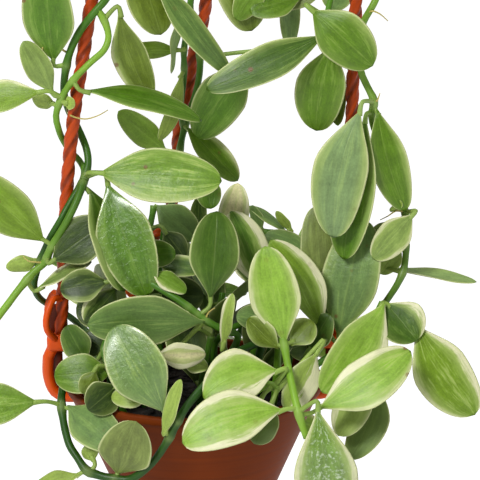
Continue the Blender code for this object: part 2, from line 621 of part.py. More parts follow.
# Vines that the front of the plant hides, by rule: a pair of leaves at each joint of the stem, each
# pair square to the last. Each has its stem in mm from the rim's centre and the step between pairs.
HIDDEN_VINES = {
    "vine_back_left": (leaf_grey, 26, 3, 0.3, [(-22, 32, -18), (-28, 44, 10), (-34, 58, 18), (-38, 70, 2),
                                              (-34, 74, -26), (-28, 74, -50)]),
    "vine_back_middle": (leaf_green, 26, 5, 0.3, [(-2, 38, -18), (-2, 48, 14), (-4, 66, 20), (-6, 78, 0),
                                                 (-6, 80, -30), (-4, 78, -54)]),
    "vine_back_right": (leaf_cream, 27, 8, 0.3, [(16, 30, -18), (24, 46, 10), (34, 60, 20), (40, 70, 6),
                                                (38, 76, -20), (34, 74, -44)]),
    "vine_bushy_a": (leaf_grey, 15, 12, 1.1, [(8, 14, -18), (10, 18, 10), (14, 24, 34)]),
    "vine_bushy_b": (leaf_green, 15, 21, 1.1, [(-16, 22, -18), (-22, 28, 10), (-26, 34, 36)]),
    "vine_bushy_c": (leaf_green, 15, 33, 1.1, [(30, 8, -18), (36, 12, 10), (40, 18, 36)]),
    "vine_bushy_d": (leaf_green, 14, 41, 1.0, [(2, -10, -18), (4, -10, 4), (8, -8, 22)]),
    "vine_bushy_e": (leaf_green, 14, 52, 1.0, [(24, -4, -18), (26, -6, 4), (30, -8, 24)]),
    "vine_bushy_f": (leaf_green, 14, 64, 1.0, [(-24, -8, -18), (-24, -10, 4), (-24, -12, 22)]),
    "vine_side_a": (leaf_grey, 22, 71, 0.5, [(-32, 12, -18), (-40, 24, 12), (-48, 40, 30), (-52, 52, 26)]),
    "vine_side_b": (leaf_cream, 22, 83, 0.5, [(34, 34, -18), (41, 42, 12), (52, 54, 30), (60, 62, 26)]),
}
# Where these may show from the reference view: inside the bush's own outline
BUSH_OUTLINE = [(48, 268), (64, 222), (84, 196), (150, 206), (160, 234), (200, 234), (232, 196), (262, 234),
                (300, 234), (318, 212), (338, 240), (374, 240), (380, 300), (420, 306), (404, 342),
                (380, 376), (316, 404), (290, 400), (180, 400), (120, 400), (84, 392), (64, 372), (66, 330)]
FURTHEST_FORWARD = -14 * MM
TRIES = 24


def leaf_places(path, step):
    """Where the pairs of leaves of a hidden vine spring from: the joint, the stem's way and a side."""
    places = []
    travel = 9 * MM
    run = 0.0
    for a, b in zip(path, path[1:]):
        run += (b - a).length
        if run < travel:
            continue
        travel += step * MM
        along = (b - a).normalized()
        spoke = along.cross(Vector((0.3, 1, 0.2))).normalized()
        spoke = Matrix.Rotation(len(places) * math.pi / 4, 3, along) @ spoke
        places += [(b, along, spoke), (b, along, -spoke)]
    return places


def hidden_leaf(place, path, rise, seed):
    """One try at a leaf there: its rings of points."""
    joint, along, spoke = place
    draw = random.Random(seed)
    spoke = Matrix.Rotation(draw.uniform(-0.9, 0.9), 3, along) @ spoke
    heading = spoke + along * draw.uniform(0.2, 0.9) + Vector((0, 0, draw.uniform(0, rise)))
    heading.normalize()
    length = draw.uniform(28, 46) * MM
    base = joint + heading * draw.uniform(5, 9) * MM
    return leaf_shape(base, base + heading * length, length / MM * draw.uniform(0.4, 0.52), ABOVE,
                      draw.uniform(-25, 25), draw.uniform(1, 4), 6, 0, nearest(base, [path]), HIDDEN_SHARES)


def inside(x, y, outline):
    """Whether a point of the view lies in a closed outline."""
    odd = False
    for (ax, ay), (bx, by) in zip(outline, outline[1:] + outline[:1]):
        if (ay > y) != (by > y) and x < ax + (y - ay) * (bx - ax) / (by - ay):
            odd = not odd
    return odd


def seen(point):
    """Whether the point shows in the reference view, outside the bush and with nothing in front of it."""
    ray = (point - EYE)
    distance = ray.length
    ray.normalize()
    forward = sight(VIEW_MIDDLE, VIEW_MIDDLE)
    right = Vector((math.cos(VIEW_YAW), -math.sin(VIEW_YAW), 0))
    depth = ray.dot(forward)
    across = VIEW_MIDDLE + VIEW_UNITS * ray.dot(right) / depth
    down = VIEW_MIDDLE - VIEW_UNITS * ray.dot(right.cross(forward)) / depth
    if not (-4 < across < 484 and -4 < down < 484):
        return False
    if point.y > FURTHEST_FORWARD and inside(across, down, BUSH_OUTLINE):
        return False
    return not any(tree.ray_cast(EYE, ray, distance - 1 * MM)[0] for tree in front_trees)


def tree_of(mesh):
    corners = [tuple(face.vertices) for face in mesh.polygons]
    return BVHTree.FromPolygons([vert.co.copy() for vert in mesh.vertices], corners)


def grid_of(rings):
    """Points over a leaf and along its stalk, to try it for room."""
    start = rings[-len(HIDDEN_SHARES) - 1][0]
    spots = [rings[0][0].lerp(start, share) for share in (0.4, 0.6, 0.8)]
    for first, second in zip(rings[-len(HIDDEN_SHARES) - 1:], rings[-len(HIDDEN_SHARES):]):
        if len(second) == 1:
            second = second * 4
        for k in range(4):
            for share in (0.0, 0.34, 0.67):
                spots.append(first[k].lerp(second[k], share))
                spots.append(first[k].lerp(second[(k + 1) % 4], share))
    return spots + [rings[-1][0]]


stem_feet = []
for name, (look, stems, leaves) in VINES.items():
    paths = [smooth_path(points, STEM_STEP) for _, points in stems]
    paths[0].insert(1, paths[0][0] + Vector((0, 0, FOOT_RISE)))
    shapes = [tube(path, radius * MM) for path, (radius, _) in zip(paths, stems)]
    for a0, d0, b0, a1, d1, b1, width, turn, bow, fold, sweep in leaves:
        base, tip = at(a0, d0, b0), at(a1, d1, b1)
        root = nearest(base, paths)
        shapes.append(skin(leaf_shape(base, tip, width, EYE, turn, bow, fold, sweep, root)))
    combine(name, shapes, look)
    stem_feet.append((paths[0][0], stems[0][0]))
    if name == "vine_front_trailing":
        stem_feet.append((paths[0][-1], stems[0][0]))

front_trees = [tree_of(obj.data) for obj in bpy.data.objects if obj.type == "MESH"]
placed_trees = list(front_trees)


def room_for(rings, others):
    """Whether a leaf stands clear of the other shapes, and out of sight where it has to be."""
    spots = grid_of(rings)
    if any(spot.z < -POT_H + 4 * MM for spot in spots):
        return False
    if any(tree.find_nearest(spot, 2.2 * MM)[0] for spot in spots for tree in others):
        return False
    return not any(seen(spot) for spot in spots)


hidden_paths = {}
for name, (look, step, seed, rise, points) in HIDDEN_VINES.items():
    hidden_paths[name] = smooth_path([mm(*p) for p in points], STEM_STEP)
    hidden_paths[name].insert(1, hidden_paths[name][0] + Vector((0, 0, FOOT_RISE)))
hidden_stems = {name: tube(path, STEM_R, 4) for name, path in hidden_paths.items()}
hidden_trees = {name: tree_of(mesh) for name, mesh in hidden_stems.items()}
for name, (look, step, seed, rise, points) in HIDDEN_VINES.items():
    path = hidden_paths[name]
    shapes = [hidden_stems[name]]
    others = placed_trees + [tree for other, tree in hidden_trees.items() if other != name]
    for number, place in enumerate(leaf_places(path, step)):
        for attempt in range(TRIES):
            rings = hidden_leaf(place, path, rise, seed * 1000 + number * 50 + attempt)
            if room_for(rings, others):
                shapes.append(skin(rings))
                others.append(tree_of(shapes[-1]))
                break
    placed_trees.append(tree_of(combine(name, shapes, look).data))
    stem_feet.append((path[0], STEM_R / MM))

# Soil, with a plain hole round the foot of each stem
soil_profile = [(0, -POT_H + 2.6 * MM), (FOOT_R - WALL_T - 0.6 * MM, -POT_H + 4.2 * MM)]
wall_slope = (WALL_TOP_R - FOOT_R) / (POT_H - 1.6 * MM - LIP_DROP)
soil_edge = FOOT_R + wall_slope * (SOIL_TOP + POT_H - 3 * MM) - WALL_T - 0.5 * MM
soil_profile += [(soil_edge, SOIL_TOP - 1.5 * MM), (44 * MM, SOIL_TOP + 0.5 * MM),
                 (22 * MM, SOIL_TOP - 0.8 * MM), (0, SOIL_TOP + 0.4 * MM)]
holes = []
for foot, radius in stem_feet:
    reach = [foot - Vector((0, 0, GAP)), foot + Vector((0, 0, 12 * MM))]
    holes.append(tube(reach, (radius + 1.4) * MM, 5))
combine("soil", [lathe(soil_profile, 24)], soil_mix, holes)
for obj in bpy.data.objects:
    if obj.type == "MESH":
        obj.data.name = obj.name
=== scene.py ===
"""Trailing dischidia in a hanging pot: the dressed part, in the frame of its solids."""

import math
import random

import bmesh
import bpy
from mathutils import Matrix, Vector, noise
from mathutils.bvhtree import BVHTree


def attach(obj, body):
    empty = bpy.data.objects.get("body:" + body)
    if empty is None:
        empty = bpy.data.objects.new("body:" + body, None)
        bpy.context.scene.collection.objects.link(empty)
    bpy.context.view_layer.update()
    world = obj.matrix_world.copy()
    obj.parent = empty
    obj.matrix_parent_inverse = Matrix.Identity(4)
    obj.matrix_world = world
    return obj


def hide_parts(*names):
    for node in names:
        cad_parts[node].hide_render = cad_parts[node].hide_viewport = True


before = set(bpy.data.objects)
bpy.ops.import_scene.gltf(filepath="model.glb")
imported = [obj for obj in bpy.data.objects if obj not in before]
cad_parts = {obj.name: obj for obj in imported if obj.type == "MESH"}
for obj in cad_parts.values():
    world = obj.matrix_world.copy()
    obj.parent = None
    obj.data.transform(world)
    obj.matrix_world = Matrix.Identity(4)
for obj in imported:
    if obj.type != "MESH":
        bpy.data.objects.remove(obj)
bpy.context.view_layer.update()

# The studio: a pale floor far below the hanging plant, a large soft light high at the front, a weaker one on
# the right and an even pale surround, seen by a long lens that looks a little down on the pot. Places in the
# main view are in 480ths of its width, across and down, and all sizes start from the middle of the pot's rim.
MM = 0.001
RIM = Vector((-12, 0, -407)) * MM
LENS_UNITS = 1672.0
VIEW_MIDDLE = 240.0
VIEW_PITCH = math.radians(13.97)
VIEW_YAW = math.radians(1.6)
VIEW_DISTANCE = 0.8
RIM_SEEN = (194.5, 375.4)
PLANT_MIDDLE = Vector((0, 0, -0.33))


def sight(across, down):
    """The direction in which a point of the main view is seen."""
    forward = Vector((math.sin(VIEW_YAW) * math.cos(VIEW_PITCH),
                      math.cos(VIEW_YAW) * math.cos(VIEW_PITCH), -math.sin(VIEW_PITCH)))
    right = Vector((math.cos(VIEW_YAW), -math.sin(VIEW_YAW), 0))
    up = right.cross(forward)
    ray = forward + right * ((across - VIEW_MIDDLE) / LENS_UNITS)
    return (ray - up * ((down - VIEW_MIDDLE) / LENS_UNITS)).normalized()


EYE = -VIEW_DISTANCE * sight(*RIM_SEEN)


def at(across, down, back):
    """The point seen there that lies this many mm behind the pot's axis, from the rim's centre."""
    ray = sight(across, down)
    return EYE + ray * ((back * MM - EYE.y) / ray.y)


def mm(x, y, z):
    return Vector((x, y, z)) * MM


camera = bpy.data.objects.new("camera", bpy.data.cameras.new("camera"))
camera.data.sensor_width = 36
camera.data.lens = 36 * LENS_UNITS / 480
camera.data.clip_start = 0.02
camera.location = EYE + RIM
camera.rotation_euler = (math.pi / 2 - VIEW_PITCH, 0, -VIEW_YAW)
bpy.context.scene.collection.objects.link(camera)
bpy.context.scene.camera = camera
bpy.context.scene.view_settings.view_transform = "Standard"

for name, place, size, power in (("front_light", (-0.9, -1.35, 0.95), 0.55, 31),
                                 ("right_light", (1.6, -0.9, 0.4), 1.0, 4),
                                 ("top_light", (-0.3, 0.2, 1.5), 0.7, 12)):
    lamp = bpy.data.objects.new(name, bpy.data.lights.new(name, "AREA"))
    lamp.data.shape = "DISK"
    lamp.data.size = size
    lamp.data.energy = power
    lamp.location = place
    lamp.rotation_euler = (PLANT_MIDDLE - lamp.location).to_track_quat("-Z", "Y").to_euler()
    bpy.context.scene.collection.objects.link(lamp)
world = bpy.data.worlds.new("surround")
world.use_nodes = True
world.node_tree.nodes["Background"].inputs["Color"].default_value = (1, 1, 1, 1)
world.node_tree.nodes["Background"].inputs["Strength"].default_value = 0.22
bpy.context.scene.world = world


def linear(red, green, blue, alpha=1.0):
    """A colour as it is read off a screen, from 0 to 255, in the light's own scale."""
    def channel(value):
        value /= 255
        return value / 12.92 if value <= 0.04045 else ((value + 0.055) / 1.055) ** 2.4
    return channel(red), channel(green), channel(blue), alpha


def plain_material(name, colour, roughness):
    look = bpy.data.materials.new(name)
    look.use_nodes = True
    shader = look.node_tree.nodes["Principled BSDF"]
    shader.inputs["Base Color"].default_value = colour
    shader.inputs["Roughness"].default_value = roughness
    return look


class Shade:
    """A socket of a material. Sums and products of it add the Math nodes that work them out."""

    def __init__(self, tree, socket=None):
        self.tree = tree
        self.socket = socket

    def node(self, kind, settings=(), inputs=(), output=0):
        """Any other node: its type, its settings, what goes into its sockets, and which output is wanted."""
        made = self.tree.nodes.new(kind)
        for key, value in dict(settings).items():
            setattr(made, key, value)
        for key, value in dict(inputs).items():
            if isinstance(value, Shade):
                self.tree.links.new(value.socket, made.inputs[key])
            else:
                made.inputs[key].default_value = value
        return Shade(self.tree, made.outputs[output])

    def maths(self, operation, *values):
        return self.node("ShaderNodeMath", {"operation": operation}, dict(enumerate(values)))

    def __add__(self, other):
        return self.maths("ADD", self, other)

    def __sub__(self, other):
        return self.maths("SUBTRACT", self, other)

    def __rsub__(self, other):
        return self.maths("SUBTRACT", other, self)

    def __mul__(self, other):
        return self.maths("MULTIPLY", self, other)

    def __abs__(self):
        return self.maths("ABSOLUTE", self)

    def rise(self, low, high):
        """0 below low, 1 above high and a smooth rise between."""
        return self.node("ShaderNodeMapRange", {"interpolation_type": "SMOOTHSTEP"},
                         {"Value": self, "From Min": low, "From Max": high})

    def mix(self, first, second):
        """The first colour where this is 0, the second where it is 1."""
        return self.node("ShaderNodeMix", {"data_type": "RGBA"}, {0: self, 6: first, 7: second}, 2)

    def times(self, colour):
        """The colour, lighter or darker by this."""
        colour = colour if isinstance(colour, Shade) else colour[:3]
        return self.node("ShaderNodeVectorMath", {"operation": "SCALE"}, {0: colour, "Scale": self})

    def parts(self, vector):
        split = self.node("ShaderNodeSeparateXYZ", {}, {0: vector}).socket.node
        return [Shade(self.tree, socket) for socket in split.outputs]

    def spot(self):
        """The point of the piece that is seen, in the piece's own space."""
        return self.node("ShaderNodeTexCoord", {}, {}, "Object")

    def stored(self, name, output="Vector"):
        """What the mesh holds under this name."""
        return self.node("ShaderNodeAttribute", {"attribute_name": name}, {}, output)

    def vector(self, x, y, z=0.0):
        return self.node("ShaderNodeCombineXYZ", {}, {0: x, 1: y, 2: z})

    def cloud(self, vector, scale, detail, roughness=0.5, dimensions="3D"):
        """A cloudy pattern of values round 0.5."""
        return self.node("ShaderNodeTexNoise", {"noise_dimensions": dimensions},
                         {"Vector": vector, "Scale": scale, "Detail": detail, "Roughness": roughness})

    def relief(self, height, strength, distance):
        """A rough surface, as high as this."""
        return self.node("ShaderNodeBump", {}, {"Strength": strength, "Distance": distance, "Height": height})

    __radd__ = __add__
    __rmul__ = __mul__


def dress(look, **inputs):
    """Joins these to the Principled shader's sockets, whose names have a line for each space."""
    shader = look.node_tree.nodes["Principled BSDF"]
    for key, value in inputs.items():
        socket = shader.inputs[key.replace("_", " ")]
        if isinstance(value, Shade):
            look.node_tree.links.new(value.socket, socket)
        else:
            socket.default_value = value


FLOOR_HALF = 40
FLOOR_PLACE = Matrix.Translation((0, 0, -1.5))
GLOW_STARTS = 1.8
GLOW_FULL = 2.45
form = bmesh.new()
bmesh.ops.create_grid(form, x_segments=1, y_segments=1, size=FLOOR_HALF, matrix=FLOOR_PLACE)
floor = bpy.data.objects.new("floor", bpy.data.meshes.new("floor"))
form.to_mesh(floor.data)
form.free()
floor_paint = plain_material("floor_paint", (0.9, 0.9, 0.9, 1), 0.9)
shade = Shade(floor_paint.node_tree)
away = shade.node("ShaderNodeVectorMath", {"operation": "LENGTH"}, {0: shade.spot()}, "Value")
glow = away.rise(GLOW_STARTS, GLOW_FULL).mix((0.1, 0.1, 0.1, 1), (1, 1, 1, 1))
dress(floor_paint, Emission_Color=glow, Emission_Strength=0.9)
floor.data.materials.append(floor_paint)
bpy.context.scene.collection.objects.link(floor)


def finish(name, form, looks, node):
    """A piece from what the bmesh holds, in the place of a CAD node."""
    bmesh.ops.translate(form, verts=form.verts, vec=RIM)
    for face in form.faces:
        face.smooth = True
    piece = bpy.data.objects.new(name, bpy.data.meshes.new(name))
    form.to_mesh(piece.data)
    form.free()
    for look in looks:
        piece.data.materials.append(look)
    bpy.context.scene.collection.objects.link(piece)
    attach(piece, "root")
    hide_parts(node)
    return piece


# Pot: a tapered bowl, injection moulded in terracotta-coloured plastic, with a low rounded lip and a slot
# under the lip for each of the hanger's rings. The plastic is matt, with faint rings from its mould.
RIM_R = 61.2 * MM
WALL_TOP_R = 59.8 * MM
FOOT_R = 30.9 * MM
POT_H = 74 * MM
WALL_T = 2.0 * MM
LIP_DROP = 4.6 * MM
SLOT_SIZE = (16, 10.8, 7.3)
SLOT_OUT = 58 * MM
SLOT_HEIGHT = -8.95 * MM
TERRACOTTA = linear(112, 47, 8)
CLIP_TURNS = {"left": math.radians(183), "back": math.radians(113), "right": math.radians(358)}
POT_PROFILE = [
    (0, -POT_H), (FOOT_R - 2 * MM, -POT_H), (FOOT_R - 0.5 * MM, -POT_H + 0.5 * MM),
    (FOOT_R, -POT_H + 1.6 * MM), (WALL_TOP_R, -LIP_DROP),
    (RIM_R - 0.2 * MM, -LIP_DROP + 0.9 * MM), (RIM_R, -LIP_DROP + 1.5 * MM),
    (RIM_R, -0.9 * MM), (RIM_R - 0.3 * MM, -0.3 * MM), (RIM_R - 0.9 * MM, 0), (RIM_R - 2.1 * MM, 0),
    (RIM_R - 2.7 * MM, -0.3 * MM), (RIM_R - 3 * MM, -0.9 * MM), (WALL_TOP_R - WALL_T, -LIP_DROP),
    (FOOT_R - WALL_T, -POT_H + 3.6 * MM), (0, -POT_H + 2.2 * MM)]


def turned(form, profile, steps):
    """A closed profile of (radius, height) turned about the pot's axis."""
    verts = [form.verts.new((r, 0, z)) for r, z in profile]
    edges = [form.edges.new(pair) for pair in zip(verts, verts[1:])]
    bmesh.ops.spin(form, geom=verts + edges, cent=(0, 0, 0), axis=(0, 0, 1), angle=2 * math.pi,
                   steps=steps, use_merge=True)
    bmesh.ops.remove_doubles(form, verts=form.verts, dist=1e-6)
    bmesh.ops.recalc_face_normals(form, faces=form.faces)


def outward(turn, out, across, z):
    """A point by its distance from the pot's axis, its shift along the rim and its height."""
    return Vector((math.cos(turn) * out - math.sin(turn) * across,
                   math.sin(turn) * out + math.cos(turn) * across, z))


pot_plastic = plain_material("pot_plastic", TERRACOTTA, 0.5)
shade = Shade(pot_plastic.node_tree)
spot = shade.spot()
x, y, z = shade.parts(spot)
rings = shade.cloud(shade.vector(x * 9, z * 420), 1.0, 3, dimensions="2D")
cloud = shade.cloud(spot, 30, 3)
tone = rings * 0.6 + cloud * 0.35 + 0.54
dress(pot_plastic, Base_Color=tone.times(TERRACOTTA), Roughness=rings * 0.15 + 0.5,
      Specular_IOR_Level=0.08, Normal=shade.relief(rings, 0.15, 0.0004))

form = bmesh.new()
turned(form, POT_PROFILE, 120)
pot = finish("terracotta_pot", form, [pot_plastic], "pot")
form = bmesh.new()
for turn in CLIP_TURNS.values():
    cut = bmesh.ops.create_cube(form, size=1)
    bmesh.ops.scale(form, verts=cut["verts"], vec=mm(*SLOT_SIZE))
    bmesh.ops.rotate(form, verts=cut["verts"], matrix=Matrix.Rotation(turn, 3, "Z"))
    bmesh.ops.translate(form, verts=cut["verts"], vec=outward(turn, SLOT_OUT, 0, SLOT_HEIGHT) + RIM)
slot_cutter = bpy.data.objects.new("slot_cutter", bpy.data.meshes.new("slot_cutter"))
form.to_mesh(slot_cutter.data)
form.free()
bpy.context.scene.collection.objects.link(slot_cutter)
cut = pot.modifiers.new("slots", "BOOLEAN")
cut.operation = "DIFFERENCE"
cut.object = slot_cutter
bpy.context.view_layer.update()
pot.data = bpy.data.meshes.new_from_object(pot.evaluated_get(bpy.context.evaluated_depsgraph_get()))
pot.data.name = "terracotta_pot"
pot.modifiers.clear()
bpy.data.objects.remove(slot_cutter, do_unlink=True)
pot.data.set_sharp_from_angle(angle=math.radians(40))

# Hanger: three cords of twisted plastic, each moulded in one with a stirrup, a saddle and a ring that goes
# through the pot's slot and over its lip, with thin webs in their openings. A moulded boss with an open hook
# joins the cords at the top. The plastic is satin. Its colour holds painted shade, darker in the cords' grooves
# and darkest on the webs, and painted light that makes the stirrups, saddles and rings brighter than the cords.
CORD_R = 3.2 * MM
CORD_TWIST = 2 * math.pi / (29 * MM)
CORD_STEP = 1.5 * MM
CORD_FOOT = [(62.6, 16.5), (63, 21)]
RING_R = 3.6 * MM
RING_FLAT = 0.75
RING = [(69, 11), (69.2, 2), (66.4, -6), (60, -8.8), (55, -7.4), (53.6, 0), (55, 11), (59, 17.6), (65, 17.8)]
SADDLE_SIZE = (9.8, 10, 8.4)
SADDLE_ROUND = 2.4 * MM
SADDLE_OUT = 64.5 * MM
SADDLE_HEIGHT = 18.8 * MM
STIRRUP_R = 1.6 * MM
STIRRUP = [(0.0, 0.0, 45), (3.6, 5.2, 41), (6.6, 8.8, 34), (6.4, 8.6, 27), (2.6, 4.0, 21), (0.0, 0.0, 19)]
STIRRUP_OUT = 63
STIRRUP_WEB = [(68.6, 37), (69.8, 34), (69.6, 27), (67.4, 22.5)]
RING_WEB = [(66, -5), (68, -1), (68.6, 3), (68.6, 11), (66.5, 15)]
STIRRUP_WEB_IN = 62.5
RING_WEB_IN = 62.2
WEB_T = 1.2 * MM
# Painted shade and light on the hanger: a value above 0 darkens the plastic as shade, and one below 0 lightens
# it as light.
WEB_PAINTED_SHADE = 1.5
CLIP_PAINTED_LIGHT = -0.8
RUST_ORANGE = linear(184, 66, 3)
CORDS = {
    "left": [at(62.5, 300, -3), at(64, 250, -3), at(65.3, 215, -3), at(67.4, 180, -3),
            at(70, 150, -3), at(74.6, 110, -3), at(80, 75, -3), at(85.5, 40, -3),
            at(91.5, 0, -3), at(98, -34, -3), at(107, -76, -2.5), mm(-36, -2, 250), mm(-17, -1, 318),
            mm(0.4, 0, 356), mm(2, 0, 366.2)],
    "back": [mm(-24, 58, 48), at(166, 225, 57), at(171, 208, 57), at(179, 130, 54), at(186, 100, 51.5),
            at(191, 75, 50), at(193.5, 55, 48), at(204, 15, 44), at(208, -30, 41.5), at(212, -82, 38),
            mm(10, 32, 262), mm(12, 16, 330), mm(12, 10, 357), mm(12, 9.6, 366.2)],
    "right": [mm(67, -2, 44), at(346, 240, -2), at(350, 160, -2), at(352, 113, -2), at(353, 73, -2),
              at(355.5, 10, -2), at(355.5, -26, -2), at(353.5, -62, -2), mm(74, -2, 236),
              mm(56, -1, 304), mm(34, 0, 340), mm(23, 0, 356), mm(22, 0, 366.1)],
}


def smooth_path(points, step):
    """A Catmull-Rom curve through the points, at steps of about this length."""
    out = []
    for i in range(len(points) - 1):
        a = points[max(i - 1, 0)]
        b, c = points[i], points[i + 1]
        d = points[min(i + 2, len(points) - 1)]
        count = max(1, round((c - b).length / step))
        for k in range(count):
            t = k / count
            out.append(0.5 * (2 * b + (c - a) * t + (2 * a - 5 * b + 4 * c - d) * t * t
                              + (3 * b - a - 3 * c + d) * t ** 3))
    return out + [points[-1].copy()]


def path_frames(path, side=None, closed=False):
    """A side vector and an up vector across the path at each point, turning as little as they can."""
    frames = []
    for i, point in enumerate(path):
        if closed:
            along = path[(i + 1) % len(path)] - path[i - 1]
        else:
            along = path[min(i + 1, len(path) - 1)] - path[max(i - 1, 0)]
        along.normalize()
        if side is None:
            side = along.cross(Vector((0, 1, 0)))
            if side.length < 0.2:
                side = along.cross(Vector((1, 0, 0)))
        side = (side - along * side.dot(along)).normalized()
        frames.append((side, along.cross(side)))
    return frames


def rolled(form, path, sides, section, side=None, closed=False):
    """A tube along the path: a grid rolled up, by the section's (across, up) at each step and turn."""
    frames = path_frames(path, side, closed)
    if closed:
        path, frames = path + path[:1], frames + frames[:1]
    last = len(path) - 1
    sheet = bmesh.ops.create_grid(form, x_segments=last, y_segments=sides, size=1)["verts"]
    for vert in sheet:
        i = round((vert.co.x + 1) / 2 * last)
        turn = math.pi * (vert.co.y + 1)
        across, up = section(i, turn)
        vert.co = path[i] + frames[i][0] * across + frames[i][1] * up
    bmesh.ops.remove_doubles(form, verts=sheet, dist=1e-7)
    edges = {edge for vert in sheet if vert.is_valid for edge in vert.link_edges}
    if not closed:
        bmesh.ops.holes_fill(form, edges=[edge for edge in edges if edge.is_boundary], sides=0)
    faces = list({face for vert in sheet if vert.is_valid for face in vert.link_faces})
    bmesh.ops.recalc_face_normals(form, faces=faces)
    return [vert for vert in sheet if vert.is_valid]


def round_section(radius, flat=1.0):
    return lambda i, turn: (radius * math.cos(turn), radius * flat * math.sin(turn))


def cord_section(i, turn):
    """Two flattened strands laid together: a round with a groove on each side, which turns along the cord."""
    groove = abs(math.cos(turn)) ** 9
    ridge = 1.02 - 0.3 * groove - 0.12 * math.sin(turn) ** 8
    wobble = 1 + 0.05 * noise.noise((i * 0.13, math.cos(turn), math.sin(turn)))
    angle = turn + CORD_TWIST * CORD_STEP * i
    return CORD_R * ridge * wobble * math.cos(angle), CORD_R * ridge * wobble * math.sin(angle)


hanger_plastic = plain_material("hanger_plastic", RUST_ORANGE, 0.42)
shade = Shade(hanger_plastic.node_tree)
spot = shade.spot()
cloud = shade.cloud(spot, 90, 4)
# Painted light and shade: darker in the cords' grooves and on the webs, lighter on the stirrups, saddles and
# rings.
painted_shade_and_light = shade.stored("painted_shade_and_light", "Fac")
tone = (cloud * 0.3 + 0.85) * (1 - painted_shade_and_light * 0.55)
dress(hanger_plastic, Base_Color=tone.times(RUST_ORANGE), Roughness=cloud * 0.2 + 0.36,
      Specular_IOR_Level=0.3, Normal=shade.relief(cloud, 0.25, 0.0005))


def web(form, turn, outline, inner):
    """A thin upright wall from this distance from the pot's axis out to the outline of (out, height)."""
    path = [outward(turn, (inner + out) / 2 * MM, 0, height * MM) for out, height in outline]
    rolled(form, path, 8, lambda i, angle: ((outline[i][0] - inner) / 2 * MM * math.cos(angle),
                                            WEB_T / 2 * math.sin(angle)), outward(turn, 1, 0, 0))


def stirrup_arm(form, turn, top, sway):
    """Half of the stirrup: out from the cord, round and back into the saddle."""
    points = []
    for k, (out, across, height) in enumerate(STIRRUP):
        base = STIRRUP_OUT + (top.xy.length / MM - STIRRUP_OUT) * (1 - k / (len(STIRRUP) - 1))
        points.append(outward(turn, (base + out) * MM, sway * across * MM, height * MM))
    points[0] = top
    rolled(form, smooth_path(points, 2.5 * MM), 10, round_section(STIRRUP_R))


for side, turn in CLIP_TURNS.items():
    form = bmesh.new()
    painted_shade_and_light_layer = form.verts.layers.float.new("painted_shade_and_light")
    cord = CORDS[side]
    foot = [outward(turn, out * MM, 0, height * MM) for out, height in CORD_FOOT]
    route = smooth_path(foot + cord, CORD_STEP)
    cord_verts = rolled(form, route, 20, cord_section)
    # Painted shade in the cord's grooves: the nearer a point lies to the cord's middle, the darker it is.
    for vert in cord_verts:
        near = min(route, key=lambda point: (point - vert.co).length_squared)
        vert[painted_shade_and_light_layer] = max(0, min(1, (0.93 - (vert.co - near).length / CORD_R) * 8))
    cut = bmesh.ops.create_cube(form, size=1)
    bmesh.ops.scale(form, verts=cut["verts"], vec=mm(*SADDLE_SIZE))
    sides = list({edge for vert in cut["verts"] for edge in vert.link_edges})
    cut = bmesh.ops.bevel(form, geom=sides, offset=SADDLE_ROUND, offset_type="OFFSET", segments=4, profile=0.5,
                          affect="EDGES", material=-1)
    saddle = list(set(cut["verts"]) | {vert for face in cut["faces"] for vert in face.verts})
    bmesh.ops.rotate(form, verts=saddle, matrix=Matrix.Rotation(turn, 3, "Z"))
    bmesh.ops.translate(form, verts=saddle, vec=outward(turn, SADDLE_OUT, 0, SADDLE_HEIGHT))
    ring = [outward(turn, out * MM, 0, height * MM) for out, height in RING + RING[:1]]
    ring = smooth_path(ring, 2 * MM)[:-1]
    rolled(form, ring, 12, round_section(RING_R, RING_FLAT), outward(turn, 0, 1, 0), True)
    stirrup_arm(form, turn, cord[0], 1)
    stirrup_arm(form, turn, cord[0], -1)
    # Painted light: the stirrups, saddles and rings are a lit, brighter copy of the cords' plastic.
    for vert in set(form.verts) - set(cord_verts):
        vert[painted_shade_and_light_layer] = CLIP_PAINTED_LIGHT
    solid_verts = set(form.verts)
    web(form, turn, STIRRUP_WEB, STIRRUP_WEB_IN)
    web(form, turn, RING_WEB, RING_WEB_IN)
    # Painted shade: the webs are coloured dark, as the shade inside the openings.
    for vert in set(form.verts) - solid_verts:
        vert[painted_shade_and_light_layer] = WEB_PAINTED_SHADE
    finish("hanger_cord_" + side, form, [hanger_plastic], "hanger_leg_" + side)

BOSS_PLACE = mm(12, 2, 0)
BOSS_PROFILE = [(0, 366.6), (12.9, 366.6), (14, 367), (14.5, 368), (14, 370), (12.4, 372.6), (9, 375),
                (5, 376.4), (0, 376.6)]
HOOK_R = 2.7 * MM
HOOK_INNER = 12 * MM
hook_centre = mm(12, 0, 407) - Vector((0, 0, HOOK_INNER))
bend = [mm(12, 0, 372), mm(12, 0, 377)]
for degrees in range(-76, 226, 20):
    angle = math.radians(degrees)
    bend.append(hook_centre + Vector((math.cos(angle), 0, math.sin(angle))) * (HOOK_INNER + HOOK_R))
form = bmesh.new()
form.verts.layers.float.new("painted_shade_and_light")
turned(form, [(r * MM, z * MM) for r, z in BOSS_PROFILE], 48)
bmesh.ops.translate(form, verts=form.verts, vec=BOSS_PLACE)
rolled(form, smooth_path(bend, 2 * MM), 16, round_section(HOOK_R))
finish("hanger_top", form, [hanger_plastic], "hanger_hook")

